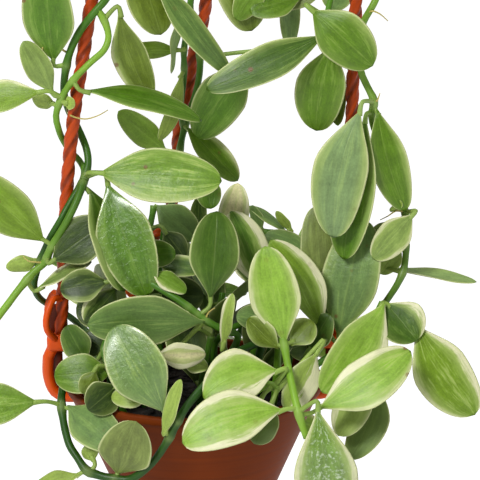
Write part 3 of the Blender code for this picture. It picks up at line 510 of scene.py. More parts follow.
# Soil: a dark mix of peat and fine bark, filled to 12 mm below the lip, with loose chips of bark on it.
SOIL_TOP = -12 * MM
SOIL_BLACK = linear(8, 7, 5)
SOIL_BROWN = linear(44, 33, 24)
CHIPS = 420
soil_mix = plain_material("soil_mix", linear(40, 30, 22), 0.95)
shade = Shade(soil_mix.node_tree)
spot = shade.spot()
crumb = shade.cloud(spot, 260, 5, 0.7)
dress(soil_mix, Base_Color=crumb.rise(0.35, 0.75).mix(SOIL_BLACK, SOIL_BROWN),
      Normal=shade.relief(crumb, 0.7, 0.001))
wall_slope = (WALL_TOP_R - FOOT_R) / (POT_H - 1.6 * MM - LIP_DROP)
soil_edge = FOOT_R + wall_slope * (SOIL_TOP + POT_H - 3 * MM) - WALL_T - 0.5 * MM
form = bmesh.new()
body = [(0, -POT_H + 2.6 * MM), (FOOT_R - WALL_T - 0.6 * MM, -POT_H + 4.2 * MM),
        (soil_edge, SOIL_TOP - 1.5 * MM)]
turned(form, body + [(soil_edge * (1 - k / 26), SOIL_TOP) for k in range(1, 27)], 90)
for vert in form.verts:
    if vert.co.z > SOIL_TOP - 1 * MM:
        lumps = noise.noise(vert.co * 130) * 1.1 + noise.noise(vert.co * 380) * 0.7
        vert.co.z += (lumps - 0.2) * MM
draw = random.Random(5)
for _ in range(CHIPS):
    turn, out = draw.uniform(0, 2 * math.pi), soil_edge * 0.95 * math.sqrt(draw.random())
    size = Vector((draw.uniform(1.2, 4), draw.uniform(1, 2.4), draw.uniform(0.5, 1.2))) * MM
    tilt = Matrix.Rotation(draw.uniform(0, 6.3), 4, "Z") @ Matrix.Rotation(draw.uniform(-0.5, 0.5), 4, "X")
    height = SOIL_TOP + draw.uniform(-0.4, 0.5) * MM
    place = Matrix.Translation((out * math.cos(turn), out * math.sin(turn), height)) @ tilt
    bmesh.ops.create_icosphere(form, subdivisions=1, radius=1, matrix=place @ Matrix.Diagonal((*size, 1)))
finish("bark_mix", form, [soil_mix], "soil")

# Leaves and stems: thick waxy leaves in pairs, each on a short stalk from a joint of a round green stem.
# A leaf is green in the middle, streaked lengthwise, with a cream margin that is wider on some leaves.
# The 'shade' green is painted shade: a darker copy of the leaves' green, for leaves in the shadow deep in the
# bush.
GREENS = {
    "deep": (62, 94, 14), "shade": (44, 66, 8), "olive": (94, 114, 24), "green": (80, 120, 22),
    "fresh": (104, 140, 38), "yellow": (110, 142, 28), "pale": (144, 168, 72), "grey": (104, 134, 70),
    "silver": (142, 170, 98), "cream": (220, 214, 160), "lime": (134, 172, 56), "dull": (110, 124, 60),
    "vivid": (84, 120, 8), "moss": (86, 116, 50), "sage": (124, 148, 72), "mist": (120, 146, 92),
}
CREAM = (222, 220, 180)
STEM_DARK = (36, 76, 10)
STEM_OLD = (52, 96, 18)
STEM_GREEN = (76, 126, 20)
STEM_YOUNG = (134, 176, 54)
ROOT_BROWN = (186, 172, 96)
STALK_GREEN = (146, 172, 82)
JOINT_GREEN = (150, 170, 96)
STALK_R = 0.85 * MM
ROOT_R = 0.55 * MM
STEM_STEP = 14 * MM
FOOT_RISE = 7 * MM

leaf_skin = plain_material("leaf_skin", linear(90, 140, 60), 0.4)
shade = Shade(leaf_skin.node_tree)
spot = shade.spot()
share, across, face_side = shade.parts(shade.stored("lie"))
left, right, streaks = shade.parts(shade.stored("edge"))
seed, grain, speckle = shade.parts(shade.stored("skin"))
tint = shade.stored("tint", "Color")
streak = shade.cloud(shade.vector(share * 2.4 + seed * 7.3, across * 3.6, seed * 31), 1.0, 4, 0.65)
fine_streak = shade.cloud(shade.vector(share * 7 + seed * 3.1, across * 15, seed * 17), 1.0, 3)
blotch = shade.cloud(spot, 170, 4, 0.6)
grit = shade.cloud(spot, 1100, 2)
tone = streak - 0.5 + (fine_streak - 0.5) * 0.16 + (blotch - 0.5) * 0.6 + (grit - 0.5) * 0.5 + 0.98
green = tone.times(tint)
pale_green = blotch.mix(linear(136, 162, 70), linear(180, 196, 114))
fleck = (streak + (fine_streak - 0.5) * 0.6).rise(0.5, 0.72) * streaks
green = (fleck * 0.8).mix(green, pale_green)
rib = 1 - abs(across).rise(0.0, 0.05)
green = (rib * 0.14 + abs(across).rise(0.4, 1.0) * 0.2).mix(green, pale_green)
width = across.rise(-0.05, 0.05) * (right - left) + left
ragged = (streak - 0.5) * 1.5 + (fine_streak - 0.5) * 0.7
halo = abs(across) - 1.0 + width * (1.35 + ragged)
band = abs(across) - 1.0 + width * (0.9 + ragged * 1.2)
green = (halo.rise(-0.3, 0.2) * width.rise(0.05, 0.2) * 0.75).mix(green, pale_green)
cream_tone = (blotch * 0.3 + fine_streak * 0.3 + 0.66).times(linear(*CREAM))
colour = (band.rise(-0.08, 0.14) * width.rise(0.1, 0.3) * 0.92).mix(green, cream_tone)
rim_line = abs(across).rise(0.9, 0.97) * (blotch * 0.5 + 0.55)
colour = (rim_line * 0.9).mix(colour, linear(206, 212, 152))
# Painted glints: a near-white crackle on the glossiest leaves, standing in for sharp reflections of the lamps.
glints = shade.cloud(shade.vector(share * 34, across * 7, seed * 3), 1.0, 3, 0.65)
painted_glint = glints.rise(0.5, 0.68) * (1 - abs(across).rise(0.35, 0.8)) * grain.rise(0.85, 1.0)
colour = (painted_glint * 0.6).mix(colour, linear(216, 230, 200))
under = (0 - face_side).rise(0.0, 0.35)
colour = (under * 0.35).mix(colour, linear(122, 136, 78))
dots = shade.node("ShaderNodeTexVoronoi", {}, {"Vector": spot, "Scale": 150}, "Distance")
chance = shade.parts(shade.node("ShaderNodeTexVoronoi", {}, {"Vector": spot, "Scale": 150}, "Color"))[0]
scar = (1 - dots.rise(0.1, 0.24)) * (1 - chance.rise(0.14, 0.16)) * speckle
colour = (scar * 0.75).mix(colour, linear(110, 66, 36))
pebble = shade.cloud(spot, 250, 4, 0.6)
height = pebble * (grain * grain * 5.5 + 0.25) + fine_streak * 0.2 + streak * 0.5 + rib * 0.2
dress(leaf_skin, Base_Color=colour, Roughness=0.46 - grain * 0.16 + (blotch - 0.5) * 0.2,
      Specular_IOR_Level=0.34, Normal=shade.relief(height, 0.5, 0.0006), Coat_Weight=grain.rise(0.4, 1.0),
      Coat_Roughness=0.16)

stem_skin = plain_material("stem_skin", linear(84, 136, 36), 0.42)
shade = Shade(stem_skin.node_tree)
spot = shade.spot()
cloud = shade.cloud(spot, 160, 3)
dress(stem_skin, Base_Color=(cloud * 0.5 + 0.75).times(shade.stored("tint", "Color")),
      Roughness=cloud * 0.2 + 0.36, Specular_IOR_Level=0.35)


def blade(share, taper):
    """How wide a leaf is at this share of its length, against its widest."""
    neck = min(1, share / 0.3) ** 0.25 * min(1, share / 0.42) ** taper
    return 1.04 * (4 * share * (1 - share)) ** 0.54 * neck * min(1, ((1 - share) / 0.04) ** 0.2)


def nearest(point, paths):
    """The nearest point of the stems."""
    found = None
    for path in paths:
        for a, b in zip(path, path[1:]):
            run = b - a
            share = min(max((point - a).dot(run) / run.length_squared, 0), 1)
            place = a + run * share
            if found is None or (place - point).length < (found - point).length:
                found = place
    return found


def layers_of(form):
    """The bmesh's own numbers for the leaf's and the stem's material."""
    kinds = form.verts.layers
    return {"lie": kinds.float_vector.new("lie"), "edge": kinds.float_vector.new("edge"),
            "skin": kinds.float_vector.new("skin"), "tint": kinds.float_color.new("tint")}


def paint(verts, layers, colour):
    """Gives these the stem's material, in this colour."""
    for vert in verts:
        vert[layers["tint"]] = colour
        for face in vert.link_faces:
            face.material_index = 1


def leaf_frame(base, tip, face, turn):
    """The leaf's own directions: along it, across it and up from its upper side."""
    along = (tip - base).normalized()
    across = along.cross(face - (base + tip) / 2).normalized()
    over = across.cross(along)
    c, s = math.cos(math.radians(turn)), math.sin(math.radians(turn))
    return along, across * c + over * s, over * c - across * s


def add_stalk(form, layers, root, base, along, colour):
    """The short stalk between the stem's joint and the blade."""
    reach = (base - root).length
    points = [root, base - along * min(0.3 * reach, 5 * MM), base + along * 3 * MM]
    if reach < 4 * MM:
        points = [root, base + along * 3 * MM]
    path = smooth_path(points, 1.5 * MM)
    count = len(path) - 1

    def section(i, turn):
        radius = STALK_R * (1.65 - 0.45 * math.sin(math.pi * min(1, i / count)))
        return radius * math.cos(turn), radius * math.sin(turn)
    paint(rolled(form, path, 8, section), layers, colour)


def add_leaf(form, layers, base, tip, width, face, turn, bow, fold, sweep, root, look, seed):
    """A leaf with its stalk. Its look is its green and, in hundredths, its two cream margins, left and right
    as it is seen from its base, its streaks and its gloss, whose highest values also bring painted glints."""
    green = look[0]
    left, right, streaks, grain = (value / 100 for value in look[1:])
    along, across, over = leaf_frame(base, tip, face, turn)
    chord = tip - base
    draw = random.Random(seed)
    wave, phase, cup = draw.uniform(0.3, 0.9) * MM, draw.uniform(0, 6.28), draw.uniform(-0.6, 0.9) * MM
    twist, taper = math.radians(draw.uniform(-14, 14)), draw.uniform(0.25, 0.6)
    colour = linear(*GREENS[green])
    ball = bmesh.ops.create_uvsphere(form, u_segments=20, v_segments=22, radius=1)["verts"]
    for vert in ball:
        share = min(max(math.acos(max(-1, min(1, -vert.co.z))) / math.pi, 0), 1)
        share = share * 0.55 + 0.45 * (1 - math.cos(math.pi * share)) / 2
        ends = math.hypot(vert.co.x, vert.co.y)
        c, s = (vert.co.x / ends, vert.co.y / ends) if ends > 1e-4 else (0, 0)
        neck = (1.3 * STALK_R if share < 0.5 else 0) * min(1, ends * 4)
        half = max(width * MM / 2 * blade(share, taper), neck)
        hump = 4 * share * (1 - share)
        lift = half * math.tan(math.radians(fold)) * (math.sqrt(c * c + 0.03) - 0.17)
        lift += wave * c * c * math.sin(6.28 * 1.3 * share + phase + (1.6 if c > 0 else 0)) * hump
        lift -= cup * (1 - c * c) * hump
        thick = (0.72 - 0.2 * share + 0.4 * max(0, 1 - share * 5)) * MM * (1 - 0.4 * c * c) * min(1, ends * 3)
        groove = 0.14 * MM * math.exp(-(c / 0.12) ** 2) * (1 if s > 0 else -0.8) * hump
        spin = twist * (share - 0.5)
        side, rise = half * c, lift + thick * s - groove
        side, rise = (side * math.cos(spin) - rise * math.sin(spin),
                      side * math.sin(spin) + rise * math.cos(spin))
        vert.co = base + chord * share + over * (bow * MM * hump + rise) + across * (side + sweep * MM * hump)
        vert[layers["lie"]] = (share, c, s)
        vert[layers["edge"]] = (left, right, streaks)
        vert[layers["skin"]] = (seed % 97 / 9.7, grain, 1.0 if seed % 3 == 0 else 0.25)
        vert[layers["tint"]] = colour
    bmesh.ops.recalc_face_normals(form, faces=list({f for v in ball for f in v.link_faces}))
    add_stalk(form, layers, root, base, along,
              [0.3 * a + 0.7 * b for a, b in zip(colour, linear(*STALK_GREEN))])


def add_stem(form, layers, path, radius, joints, old, young):
    """A round stem along the path, thicker at its joints, its colour going from old to young."""
    fine = smooth_path(path, 2.2 * MM)
    nodes = [min(range(len(fine)), key=lambda i: (fine[i] - joint).length_squared) for joint in joints]
    nodes = [i for i, joint in zip(nodes, joints) if (fine[i] - joint).length < 3 * MM]
    count = len(fine) - 1

    def section(i, turn):
        swell = 1 + 0.28 * max([math.exp(-((i - k) / 1.1) ** 2) for k in nodes] + [0])
        swell *= 1 + 0.05 * noise.noise((i * 0.4, path[0].x * 900, math.cos(turn)))
        return radius * swell * math.cos(turn), radius * swell * math.sin(turn)
    dark, bright = linear(*old), linear(*young)
    for vert in rolled(form, fine, 10, section):
        i = min(range(len(fine)), key=lambda k: (fine[k] - vert.co).length_squared)
        share = i / count
        ring = 0.35 * max([math.exp(-((i - k) / 0.8) ** 2) for k in nodes] + [0])
        colour = [a + (b - a) * share for a, b in zip(dark, bright)]
        paint([vert], layers, [a + (b - a) * ring for a, b in zip(colour, linear(*JOINT_GREEN))])


def add_root(form, layers, points):
    """An aerial root: a thin brown thread from a joint."""
    path = smooth_path(points, 1.5 * MM)
    count = len(path) - 1

    def section(i, turn):
        radius = ROOT_R * (1 - 0.6 * i / count)
        return radius * math.cos(turn), radius * math.sin(turn)
    paint(rolled(form, path, 6, section), layers, linear(*ROOT_BROWN))


# Each vine is grown from the runs of its stem, with their radius in mm and their colours, from a row for each
# leaf and from its aerial roots. A bare triple is a place as the main view shows it: across, down, and the mm
# that it lies back. A leaf's row gives its base and its tip so, then its width in mm, its turn about its own
# length, the rise of its middle, its fold, its sideways bend and its look.
def placed(points):
    return [point if isinstance(point, Vector) else at(*point) for point in points]


def grow(name, stems, leaves, roots=()):
    """One vine, its leaves on their stalks and its roots joined to its stems."""
    form = bmesh.new()
    layers = layers_of(form)
    paths = [smooth_path(placed(points), STEM_STEP) for _, _, _, points in stems]
    paths[0].insert(1, paths[0][0] + Vector((0, 0, FOOT_RISE)))
    joints = []
    for number, (a0, d0, b0, a1, d1, b1, width, turn, bow, fold, sweep, *look) in enumerate(leaves):
        base, tip = at(a0, d0, b0), at(a1, d1, b1)
        joints.append(nearest(base, paths))
        add_leaf(form, layers, base, tip, width, EYE, turn, bow, fold, sweep, joints[-1], look,
                 sum(map(ord, name)) + 37 * number)
    for path, (radius, old, young, _) in zip(paths, stems):
        add_stem(form, layers, path, radius * MM, joints, old, young)
    for points in roots:
        add_root(form, layers, placed(points))
    finish(name.replace("vine_", "stems_"), form, [leaf_skin, stem_skin], name)


# Left climber: the stems that twine up the left cord, with the plant's longest leaves.
grow("vine_left_climber", [
    (1.6, STEM_DARK, STEM_OLD, [
        mm(-40, -5, -18), (108, 352, -4), (98, 342, 2), (84, 329, 9), (70, 317, 13), (57, 309, 14),
        (46, 303, 9), (38, 296, 2), (34, 285, -4), (37, 271, -5), (42, 256, -6), (49, 240, -8),
        (60, 221, -10), (71, 201, -7), (84, 180, -4)]),
    (1.7, STEM_OLD, STEM_GREEN, [
        (84, 180, -4), (88, 165, -1), (87, 151, 2), (82, 137, 5), (75, 122, 6.5), (68, 109, 4), (64, 92, -1),
        (65, 74, -4), (70, 52, -6), (80, 31, -9), (94, 13, -11), (108, -4, -8), (114, -24, 0), (106, -48, 5),
        (94, -70, 3), (90, -92, -6), (100, -112, -11), (116, -128, -4), (120, -150, 3)]),
    (1.5, STEM_YOUNG, STEM_GREEN, [
        (97, 9, -11), (104, 20, -8), (108.5, 36, -7), (104, 50, -9), (91, 62, -11), (76, 77, -11),
        (66, 90, -8), (59, 104, -6), (56, 116, -5), (58, 127, -4), (62, 138, 1), (70, 151, 5), (79, 160, 4),
        (84, 170, 0), (84, 180, -4)]),
    (1.7, STEM_OLD, STEM_YOUNG, [
        (84, 180, -4), (78, 198, -10), (68, 219, -13), (57, 238, -13), (50, 250, -12), (45, 262, -11),
        (34, 272, -12), (20, 288, -14), (8, 304, -16), (-5, 321, -18), (-17, 338, -19)]),
], [
    (54, 62, -6, 46, -34, -14, 23, 15, 2, 12, 0, "green", 10, 10, 30, 40),
    (53, 93, -9, 23, 41, -13, 12, 0, 1, 8, 0, "sage", 8, 8, 30, 20),
    (43, 92, -10, -44, 104, -8, 16, -25, 1, 8, 0, "yellow", 5, 26, 30, 30),
    (56, 104, -4, 32, 99, 0, 8, 30, 0, 0, 0, "pale", 5, 5, 20, 20),
    (63, 104, -8, 75, 102, -12, 6, 0, 0, 0, 0, "pale", 5, 5, 20, 20),
    (84, 91, -12, 202, 121, -6, 17, 52, 2, 6, -2, "green", 6, 10, 30, 30),
    (119, 11, -8, 150, 98, 3, 16, -10, 1, 5, 2, "olive", 5, 20, 20, 30),
    (136, -38, 0, 161, 35, -4, 20, 10, 2, 5, 0, "olive", 6, 6, 10, 30),
    (150, -26, -5, 230, 75, -10, 13, 30, 2, 5, 2, "moss", 14, 6, 30, 30),
    (99, 173, -14, 222, 181, -24, 24, 10, 3, 6, 0, "fresh", 8, 16, 100, 40),
    (106, 180, -9, 147, 297, -27, 25, -8, 3, 8, 0, "green", 8, 8, 20, 75),
    (88, 187, -5, 124, 292, -25, 21, 25, 2, 8, -2, "deep", 6, 14, 20, 40),
    (45, 242, -13, -34, 171, -20, 21, 10, 2, 8, 0, "yellow", 8, 15, 20, 30),
    (41, 259, -5, 6, 268, -2, 8, 20, 0, 0, 0, "pale", 10, 10, 20, 20),
    (51, 262, -15, 106, 222, -14, 21, 10, 1, 4, 0, "shade", 5, 5, 10, 30),
    (38, 289, -11, 92, 262, -15, 13, 62, 1, 10, 0, "sage", 40, 30, 20, 20),
    (-16, 337, -19, -52, 352, -22, 9, 0, 1, 6, 0, "lime", 5, 5, 20, 20),
    (-14, 334, -19, -30, 372, -22, 8, 20, 1, 6, 0, "lime", 5, 5, 20, 20),
    (106, -22, -10, 62, -92, -18, 18, -20, 2, 8, 0, "green", 10, 15, 30, 30),
    (88, -92, -6, 28, -70, -10, 18, 25, 2, 8, 0, "fresh", 12, 10, 30, 30),
    (118, -140, 0, 172, -112, -6, 17, 30, 2, 6, 0, "grey", 12, 20, 30, 30),
    (121, -153, 7, 108, -208, 13, 13, 0, 2, 6, 0, "pale", 10, 10, 30, 20),
    (123, -150, 4, 144, -200, 6, 11, 20, 1, 6, 0, "lime", 8, 8, 20, 20),
], [
    [(67, 108, 2), (70, 115, -5), (84, 119, -10), (97, 116, -12), (108, 110, -10)],
    [(66, 52, -5), (52, 44, -8), (43, 46, -9), (43, 59, -11)],
    [(44, 263, -11), (35, 262, -13), (28, 261, -13), (23, 256, -12)],
])

# Back climber: thin stems that twine up the back cord, seen between the other two.
grow("vine_back_climber", [
    (1.6, STEM_DARK, STEM_GREEN, [
        mm(-18, 30, -18), mm(-18, 38, 8), (160, 262, 48), (164, 232, 49), (175, 190, 49), (180, 150, 47),
        (184, 130, 47), (191, 108, 47), (197, 88, 45), (200, 68, 42), (199, 48, 40), (194, 28, 38),
        (190, 8, 37), (196, -18, 34), (212, -40, 32)]),
    (1.4, STEM_OLD, STEM_GREEN, [
        (184, 130, 47), (181, 108, 45), (184, 78, 43), (184, 50, 40), (187, 28, 38), (190, 8, 37)]),
    (1.3, STEM_GREEN, STEM_YOUNG, [
        (196, -18, 34), (225, -34, 30), (262, -36, 28), (300, -26, 26), (322, -12, 24)]),
    (1.5, STEM_GREEN, STEM_YOUNG, [
        (212, -40, 32), (222, -66, 30), (212, -92, 32), (205, -118, 30), (216, -140, 24)]),
], [
    (181, 50, 36, 120, 50, 30, 9, 20, 0, 5, 0, "yellow", 6, 6, 20, 20),
    (178, 15, 34, 171, 74, 32, 9, 66, 0, 5, 0, "silver", 10, 10, 30, 20),
    (182, 72, 40, 159, 141, 33, 8, 20, 0, 5, -2, "pale", 10, 10, 30, 20),
    (168, 153, 42, 118, 111, 32, 13, 0, 1, 5, 0, "lime", 8, 8, 20, 30),
    (252, 60, 34, 197, 138, 34, 23, 10, 2, 5, 2, "green", 8, 10, 20, 40),
    (186, 127, 43, 238, 181, 36, 15, 30, 1, 6, 0, "vivid", 22, 5, 20, 30),
    (200, 190, 42, 197, 238, 40, 8, 0, 0, 4, 0, "shade", 5, 8, 20, 20),
    (206, 176, 38, 211, 209, 34, 12, 0, 0, 4, 0, "green", 6, 6, 20, 20),
    (218, -46, 31, 252, 31, 27, 23, 5, 3, 6, -3, "olive", 15, 15, 30, 30),
    (263, -26, 26, 236, 20, 22, 13, 15, 1, 6, 0, "fresh", 10, 10, 30, 30),
    (304, -4, 26, 250, 12, 22, 14, -20, 1, 6, 0, "vivid", 6, 6, 20, 40),
    (330, -14, 24, 266, 2, 30, 13, 160, 1, 6, 0, "dull", 6, 6, 20, 20),
    (287, -30, 26, 290, 49, 34, 10, 20, 1, 6, 0, "grey", 10, 10, 40, 30),
    (340, -16, 22, 330, 10, 14, 14, 10, 1, 6, 0, "grey", 10, 10, 30, 20),
    (222, -66, 30, 270, -108, 22, 17, 20, 2, 6, 0, "green", 12, 10, 30, 30),
    (214, -90, 32, 160, -104, 26, 18, -20, 2, 6, 0, "grey", 15, 10, 30, 30),
    (214, -138, 24, 168, -172, 20, 15, -20, 2, 6, 0, "fresh", 10, 10, 30, 30),
    (218, -142, 24, 258, -182, 18, 14, 20, 2, 6, 0, "lime", 8, 8, 30, 20),
])

# Right climber: one long stem up the right cord, whose grey-green leaves hang in pairs.
grow("vine_right_climber", [
    (1.6, STEM_DARK, STEM_YOUNG, [
        mm(44, 18, -18), mm(50, 22, 10), (346, 332, 16), (364, 322, 8), (379, 310, -6), (389, 297, -13),
        (398, 283, -14), (404, 268, -12), (406, 250, -10), (405, 232, -9), (405, 212, -8), (398, 186, -5),
        (386, 156, -4), (374, 128, -6), (372, 114, -9), (374, 101, -11), (367, 86, -9), (361, 71, -8),
        (360, 50, -8), (361, 30, -8), (366, 17, -9), (372, 7, -10), (377, -6, -8), (374, -26, -2),
        (366, -48, 6), (352, -68, 6), (341, -82, 1), (337, -95, -7), (343, -109, -12), (356, -122, -13),
        (369, -135, -9), (375, -150, -2), (372, -168, 6)]),
    (1.4, STEM_GREEN, STEM_GREEN, [
        (372, -30, 0), (358, -34, 6), (342, -22, 4), (332, -4, -3), (327, 18, -9), (329, 32, -8)]),
], [
    (361, 109, -19, 333, 238, -26, 24, 5, 3, 5, 3.5, "mist", 16, 16, 30, 30),
    (366, 117, -13, 344, 260, -19, 22, -25, 2, 5, 0, "green", 14, 6, 30, 40),
    (377, 109, -13, 405, 211, -14, 17, 15, 2, 8, 2, "vivid", 16, 5, 20, 30),
    (413, 214, -14, 373, 259, -20, 15, 10, 1, 6, 0, "sage", 25, 25, 40, 20),
    (402, 224, -6, 371, 233, -4, 9, 40, 0, 5, 0, "olive", 5, 5, 10, 20),
    (401, 247, -8, 380, 274, -5, 10, 20, 0, 5, 0, "pale", 8, 8, 20, 20),
    (384, 267, 2, 477, 282, -2, 13, 70, 1, 5, 2, "silver", 12, 20, 40, 20),
    (312, 10, -17, 373, 66, -22, 22, -8, 4, 3, -1, "vivid", 14, 6, 30, 30),
    (325, 35, -12, 206, 90, -17, 17, -20, 3, 10, -2, "deep", 6, 14, 30, 30),
    (334, 44, -8, 316, 131, -5, 22, 0, 3, 6, 2, "vivid", 8, 8, 30, 30),
    (333, 50, 0, 338, 126, 4, 9, 10, 1, 5, 0, "vivid", 8, 8, 20, 30),
    (394, 208, -12, 402, 202, -16, 4, 0, 0, 0, 0, "pale", 5, 5, 20, 10),
    (374, -28, -3, 420, -72, -10, 18, 10, 2, 6, 0, "grey", 10, 15, 30, 30),
    (331, -95, -9, 292, -134, -14, 19, -10, 2, 6, 0, "green", 10, 10, 30, 30),
    (348, -100, -16, 408, -112, -22, 17, 25, 2, 6, 0, "silver", 15, 15, 40, 30),
    (368, -172, 7, 344, -218, 10, 14, 0, 2, 6, 0, "lime", 8, 8, 20, 20),
    (376, -172, 6, 402, -214, 6, 12, 20, 2, 6, 0, "lime", 8, 8, 20, 20),
], [
    [(367, 14, -9), (372, 11, -12), (380, 14, -13), (388, 21, -12)],
    [(373, 101, -11), (377, 101, -13), (380, 93, -14)],
    [(405, 212, -8), (396, 211, -11), (388, 216, -12), (380, 220, -11)],
])

# Front trailing stem: thick and dark, over the lip, under the left leaves and back up.
grow("vine_front_trailing", [
    (1.8, STEM_DARK, STEM_DARK, [
        mm(26, -14, -18), mm(27, -18, 2), (260, 344, -24), (238, 352, -36), (220, 367, -48), (202, 388, -60),
        (187, 406, -67), (178, 421, -68), (165, 445, -66), (150, 465, -63), (130, 479, -60), (110, 478, -58),
        (95, 474, -56), (86, 470, -55), (77, 457, -52), (69, 444, -48), (64, 424, -41), (61.5, 405, -34),
        (62.5, 390, -26), (68, 376, -19), mm(-50, -14, 8), mm(-45, -12, -8), mm(-45, -12, -18)]),
], [
    (40, 402, -38, -54, 408, -44, 19, -10, 2, 6, 0, "fresh", 8, 8, 50, 60),
    (67, 405, -36, 120, 450, -64, 19, 10, 2, 6, 0, "grey", 10, 10, 20, 30),
    (117, 475, -56, 136, 421, -72, 23, 0, 3, 4, 0, "dull", 7, 7, 30, 30),
    (94, 462, -54, 87, 444, -50, 8, 20, 0, 5, 0, "pale", 8, 8, 20, 20),
    (82, 474, -56, 28, 494, -60, 13, -50, 1, 5, 0, "pale", 10, 10, 20, 20),
    (163, 437, -69, 181, 379, -70, 7, 25, 1, 5, 0, "pale", 10, 10, 30, 20),
    (166, 414, -65, 114, 326, -52, 25, 10, 4, 4, 0, "grey", 8, 8, 50, 70),
])

# Front bright shoot: the youngest growth, which hangs over the lip with wide cream margins.
grow("vine_front_bright", [
    (1.7, STEM_GREEN, STEM_YOUNG, [
        mm(36, -16, -18), mm(38, -22, 6), (280, 326, -36), (284, 344, -43), (288, 366, -52), (293, 390, -62),
        (298, 411, -68), (303, 427, -70), (307, 438, -71)]),
], [
    (284, 410, -70, 182, 443, -76, 24, -15, 4, 5, 3, "lime", 30, 34, 80, 30),
    (318, 409, -66, 411, 351, -60, 22, 15, 4, 6, 3, "lime", 34, 22, 100, 20),
    (317, 407, -72, 331, 536, -68, 27, 5, 7, 5, 0, "fresh", 24, 24, 40, 100),
    (286, 345, -42, 265, 246, -36, 22, 5, 3, 5, 0, "lime", 22, 22, 40, 30),
    (280, 349, -44, 248, 318, -38, 12, 20, 1, 5, 0, "olive", 15, 20, 20, 30),
    (290, 346, -42, 313, 321, -38, 13, 10, 1, 5, 0, "olive", 20, 15, 20, 30),
])

# Front pale shoot: short, behind the bright one, its leaves more cream than green.
grow("vine_front_pale", [
    (1.5, STEM_GREEN, STEM_YOUNG, [
        mm(22, -34, -18), mm(22, -42, 0), (268, 384, -53), (277, 390, -55)]),
], [
    (280, 371, -58, 203, 398, -65, 23, -10, 3, 6, 4, "lime", 50, 30, 40, 20),
    (318, 350, -46, 286, 411, -55, 15, 20, 1, 6, 0, "pale", 95, 20, 30, 30),
    (273, 400, -61, 254, 444, -63, 15, 150, 1, 6, 0, "deep", 5, 5, 10, 20),
    (262, 398, -61, 243, 433, -62, 10, 20, 1, 6, 0, "olive", 8, 8, 20, 20),
])

# Middle left shoot: it leans to the left with large plain leaves.
grow("vine_middle_left", [
    (1.6, STEM_OLD, STEM_GREEN, [
        mm(8, -26, -18), mm(12, -28, 8), (238, 336, -31), (226, 331, -33), (205, 320, -34), (180, 301, -32),
        (156, 286, -27), (145, 279, -23)]),
], [
    (206, 322, -37, 87, 325, -46, 22, 10, 3, 4, 2, "moss", 8, 8, 30, 40),
    (210, 301, -32, 217, 211, -20, 22, -5, 3, 6, 0, "deep", 6, 6, 10, 30),
    (150, 272, -24, 186, 293, -30, 10, 35, 1, 6, 0, "fresh", 5, 30, 30, 20),
    (223, 346, -38, 233, 293, -38, 7, 30, 1, 6, 0, "pale", 50, 10, 20, 10),
    (156, 355, -44, 206, 354, -46, 12, -20, 1, 5, 0, "cream", 50, 50, 20, 20),
    (180, 362, -38, 208, 368, -40, 9, 30, 1, 5, 0, "pale", 20, 20, 20, 20),
], [
    [(205, 320, -34), (209, 312, -36), (215, 308, -37)],
])

# Low left shoot: small dark leaves over the lip beside the left cord's clip.
grow("vine_left_low", [
    (1.5, STEM_OLD, STEM_GREEN, [
        mm(-32, -24, -18), mm(-36, -28, 6), (112, 372, -34), (104, 350, -26), (114, 318, -20),
        (112, 290, -16)]),
], [
    (112, 373, -32, 54, 376, -30, 18, -10, 2, 5, 0, "vivid", 8, 8, 30, 30),
    (87, 362, -22, 67, 325, -17, 14, 20, 1, 5, 0, "deep", 8, 8, 10, 30),
    (96, 370, -36, 83, 394, -38, 9, 0, 1, 5, 0, "olive", 10, 10, 20, 20),
    (118, 384, -47, 88, 410, -52, 16, 10, 1, 5, 0, "shade", 10, 6, 10, 30),
    (152, 398, -57, 111, 397, -52, 10, -10, 1, 5, 0, "pale", 20, 20, 30, 20),
    (109, 282, -23, 60, 290, -24, 15, -10, 2, 4, 0, "shade", 15, 12, 20, 20),
    (117, 287, -18, 85, 323, -26, 15, 10, 2, 5, 0, "shade", 6, 26, 20, 30),
    # The last two leaves, in the 'shade' green, are dark leaves put in gaps deep in the bush as painted shade.
    (107, 352, -16, 84, 334, -12, 15, 0, 1, 5, 0, "shade", 6, 6, 10, 20),
    (110, 312, -14, 76, 308, -10, 16, 0, 1, 5, 0, "shade", 6, 6, 10, 20),
])

# Dark middle shoot: shaded leaves deep in the bush.
grow("vine_middle_dark", [
    (1.5, STEM_OLD, STEM_GREEN, [
        mm(-12, 6, -18), mm(-18, 6, 20), (136, 278, -2), (143, 252, 6), (150, 226, 14), (154, 206, 18)]),
], [
    (155, 205, 18, 197, 239, 12, 17, 20, 1, 5, 0, "grey", 8, 6, 10, 30),
    (134, 255, -4, 176, 254, -8, 13, 10, 1, 5, 0, "green", 5, 5, 10, 30),
    (163, 230, 8, 185, 258, 2, 11, 10, 1, 5, 0, "shade", 6, 6, 10, 20),
    (158, 264, -4, 201, 270, -10, 12, 30, 1, 5, 0, "deep", 20, 15, 20, 30),
    # The last leaf, in the 'shade' green, is a dark leaf put in a gap deep in the bush as painted shade.
    (156, 296, 4, 204, 296, 2, 18, 0, 1, 5, 0, "shade", 6, 6, 10, 20),
])

# Cream middle shoot: it stands up behind the bright one.
grow("vine_middle_cream", [
    (1.5, STEM_OLD, STEM_GREEN, [
        mm(6, 2, -18), mm(10, 0, 16), (250, 318, -14), (258, 292, -12), (248, 264, -4), (232, 246, 4)]),
], [
    (229, 246, 3, 238, 183, 6, 14, 0, 2, 8, 0, "cream", 30, 30, 60, 20),
    (257, 289, -12, 231, 211, -6, 18, -5, 2, 8, 2, "green", 45, 45, 20, 20),
    (268, 322, -18, 236, 317, -20, 13, -30, 1, 5, 0, "grey", 10, 10, 30, 30),
])

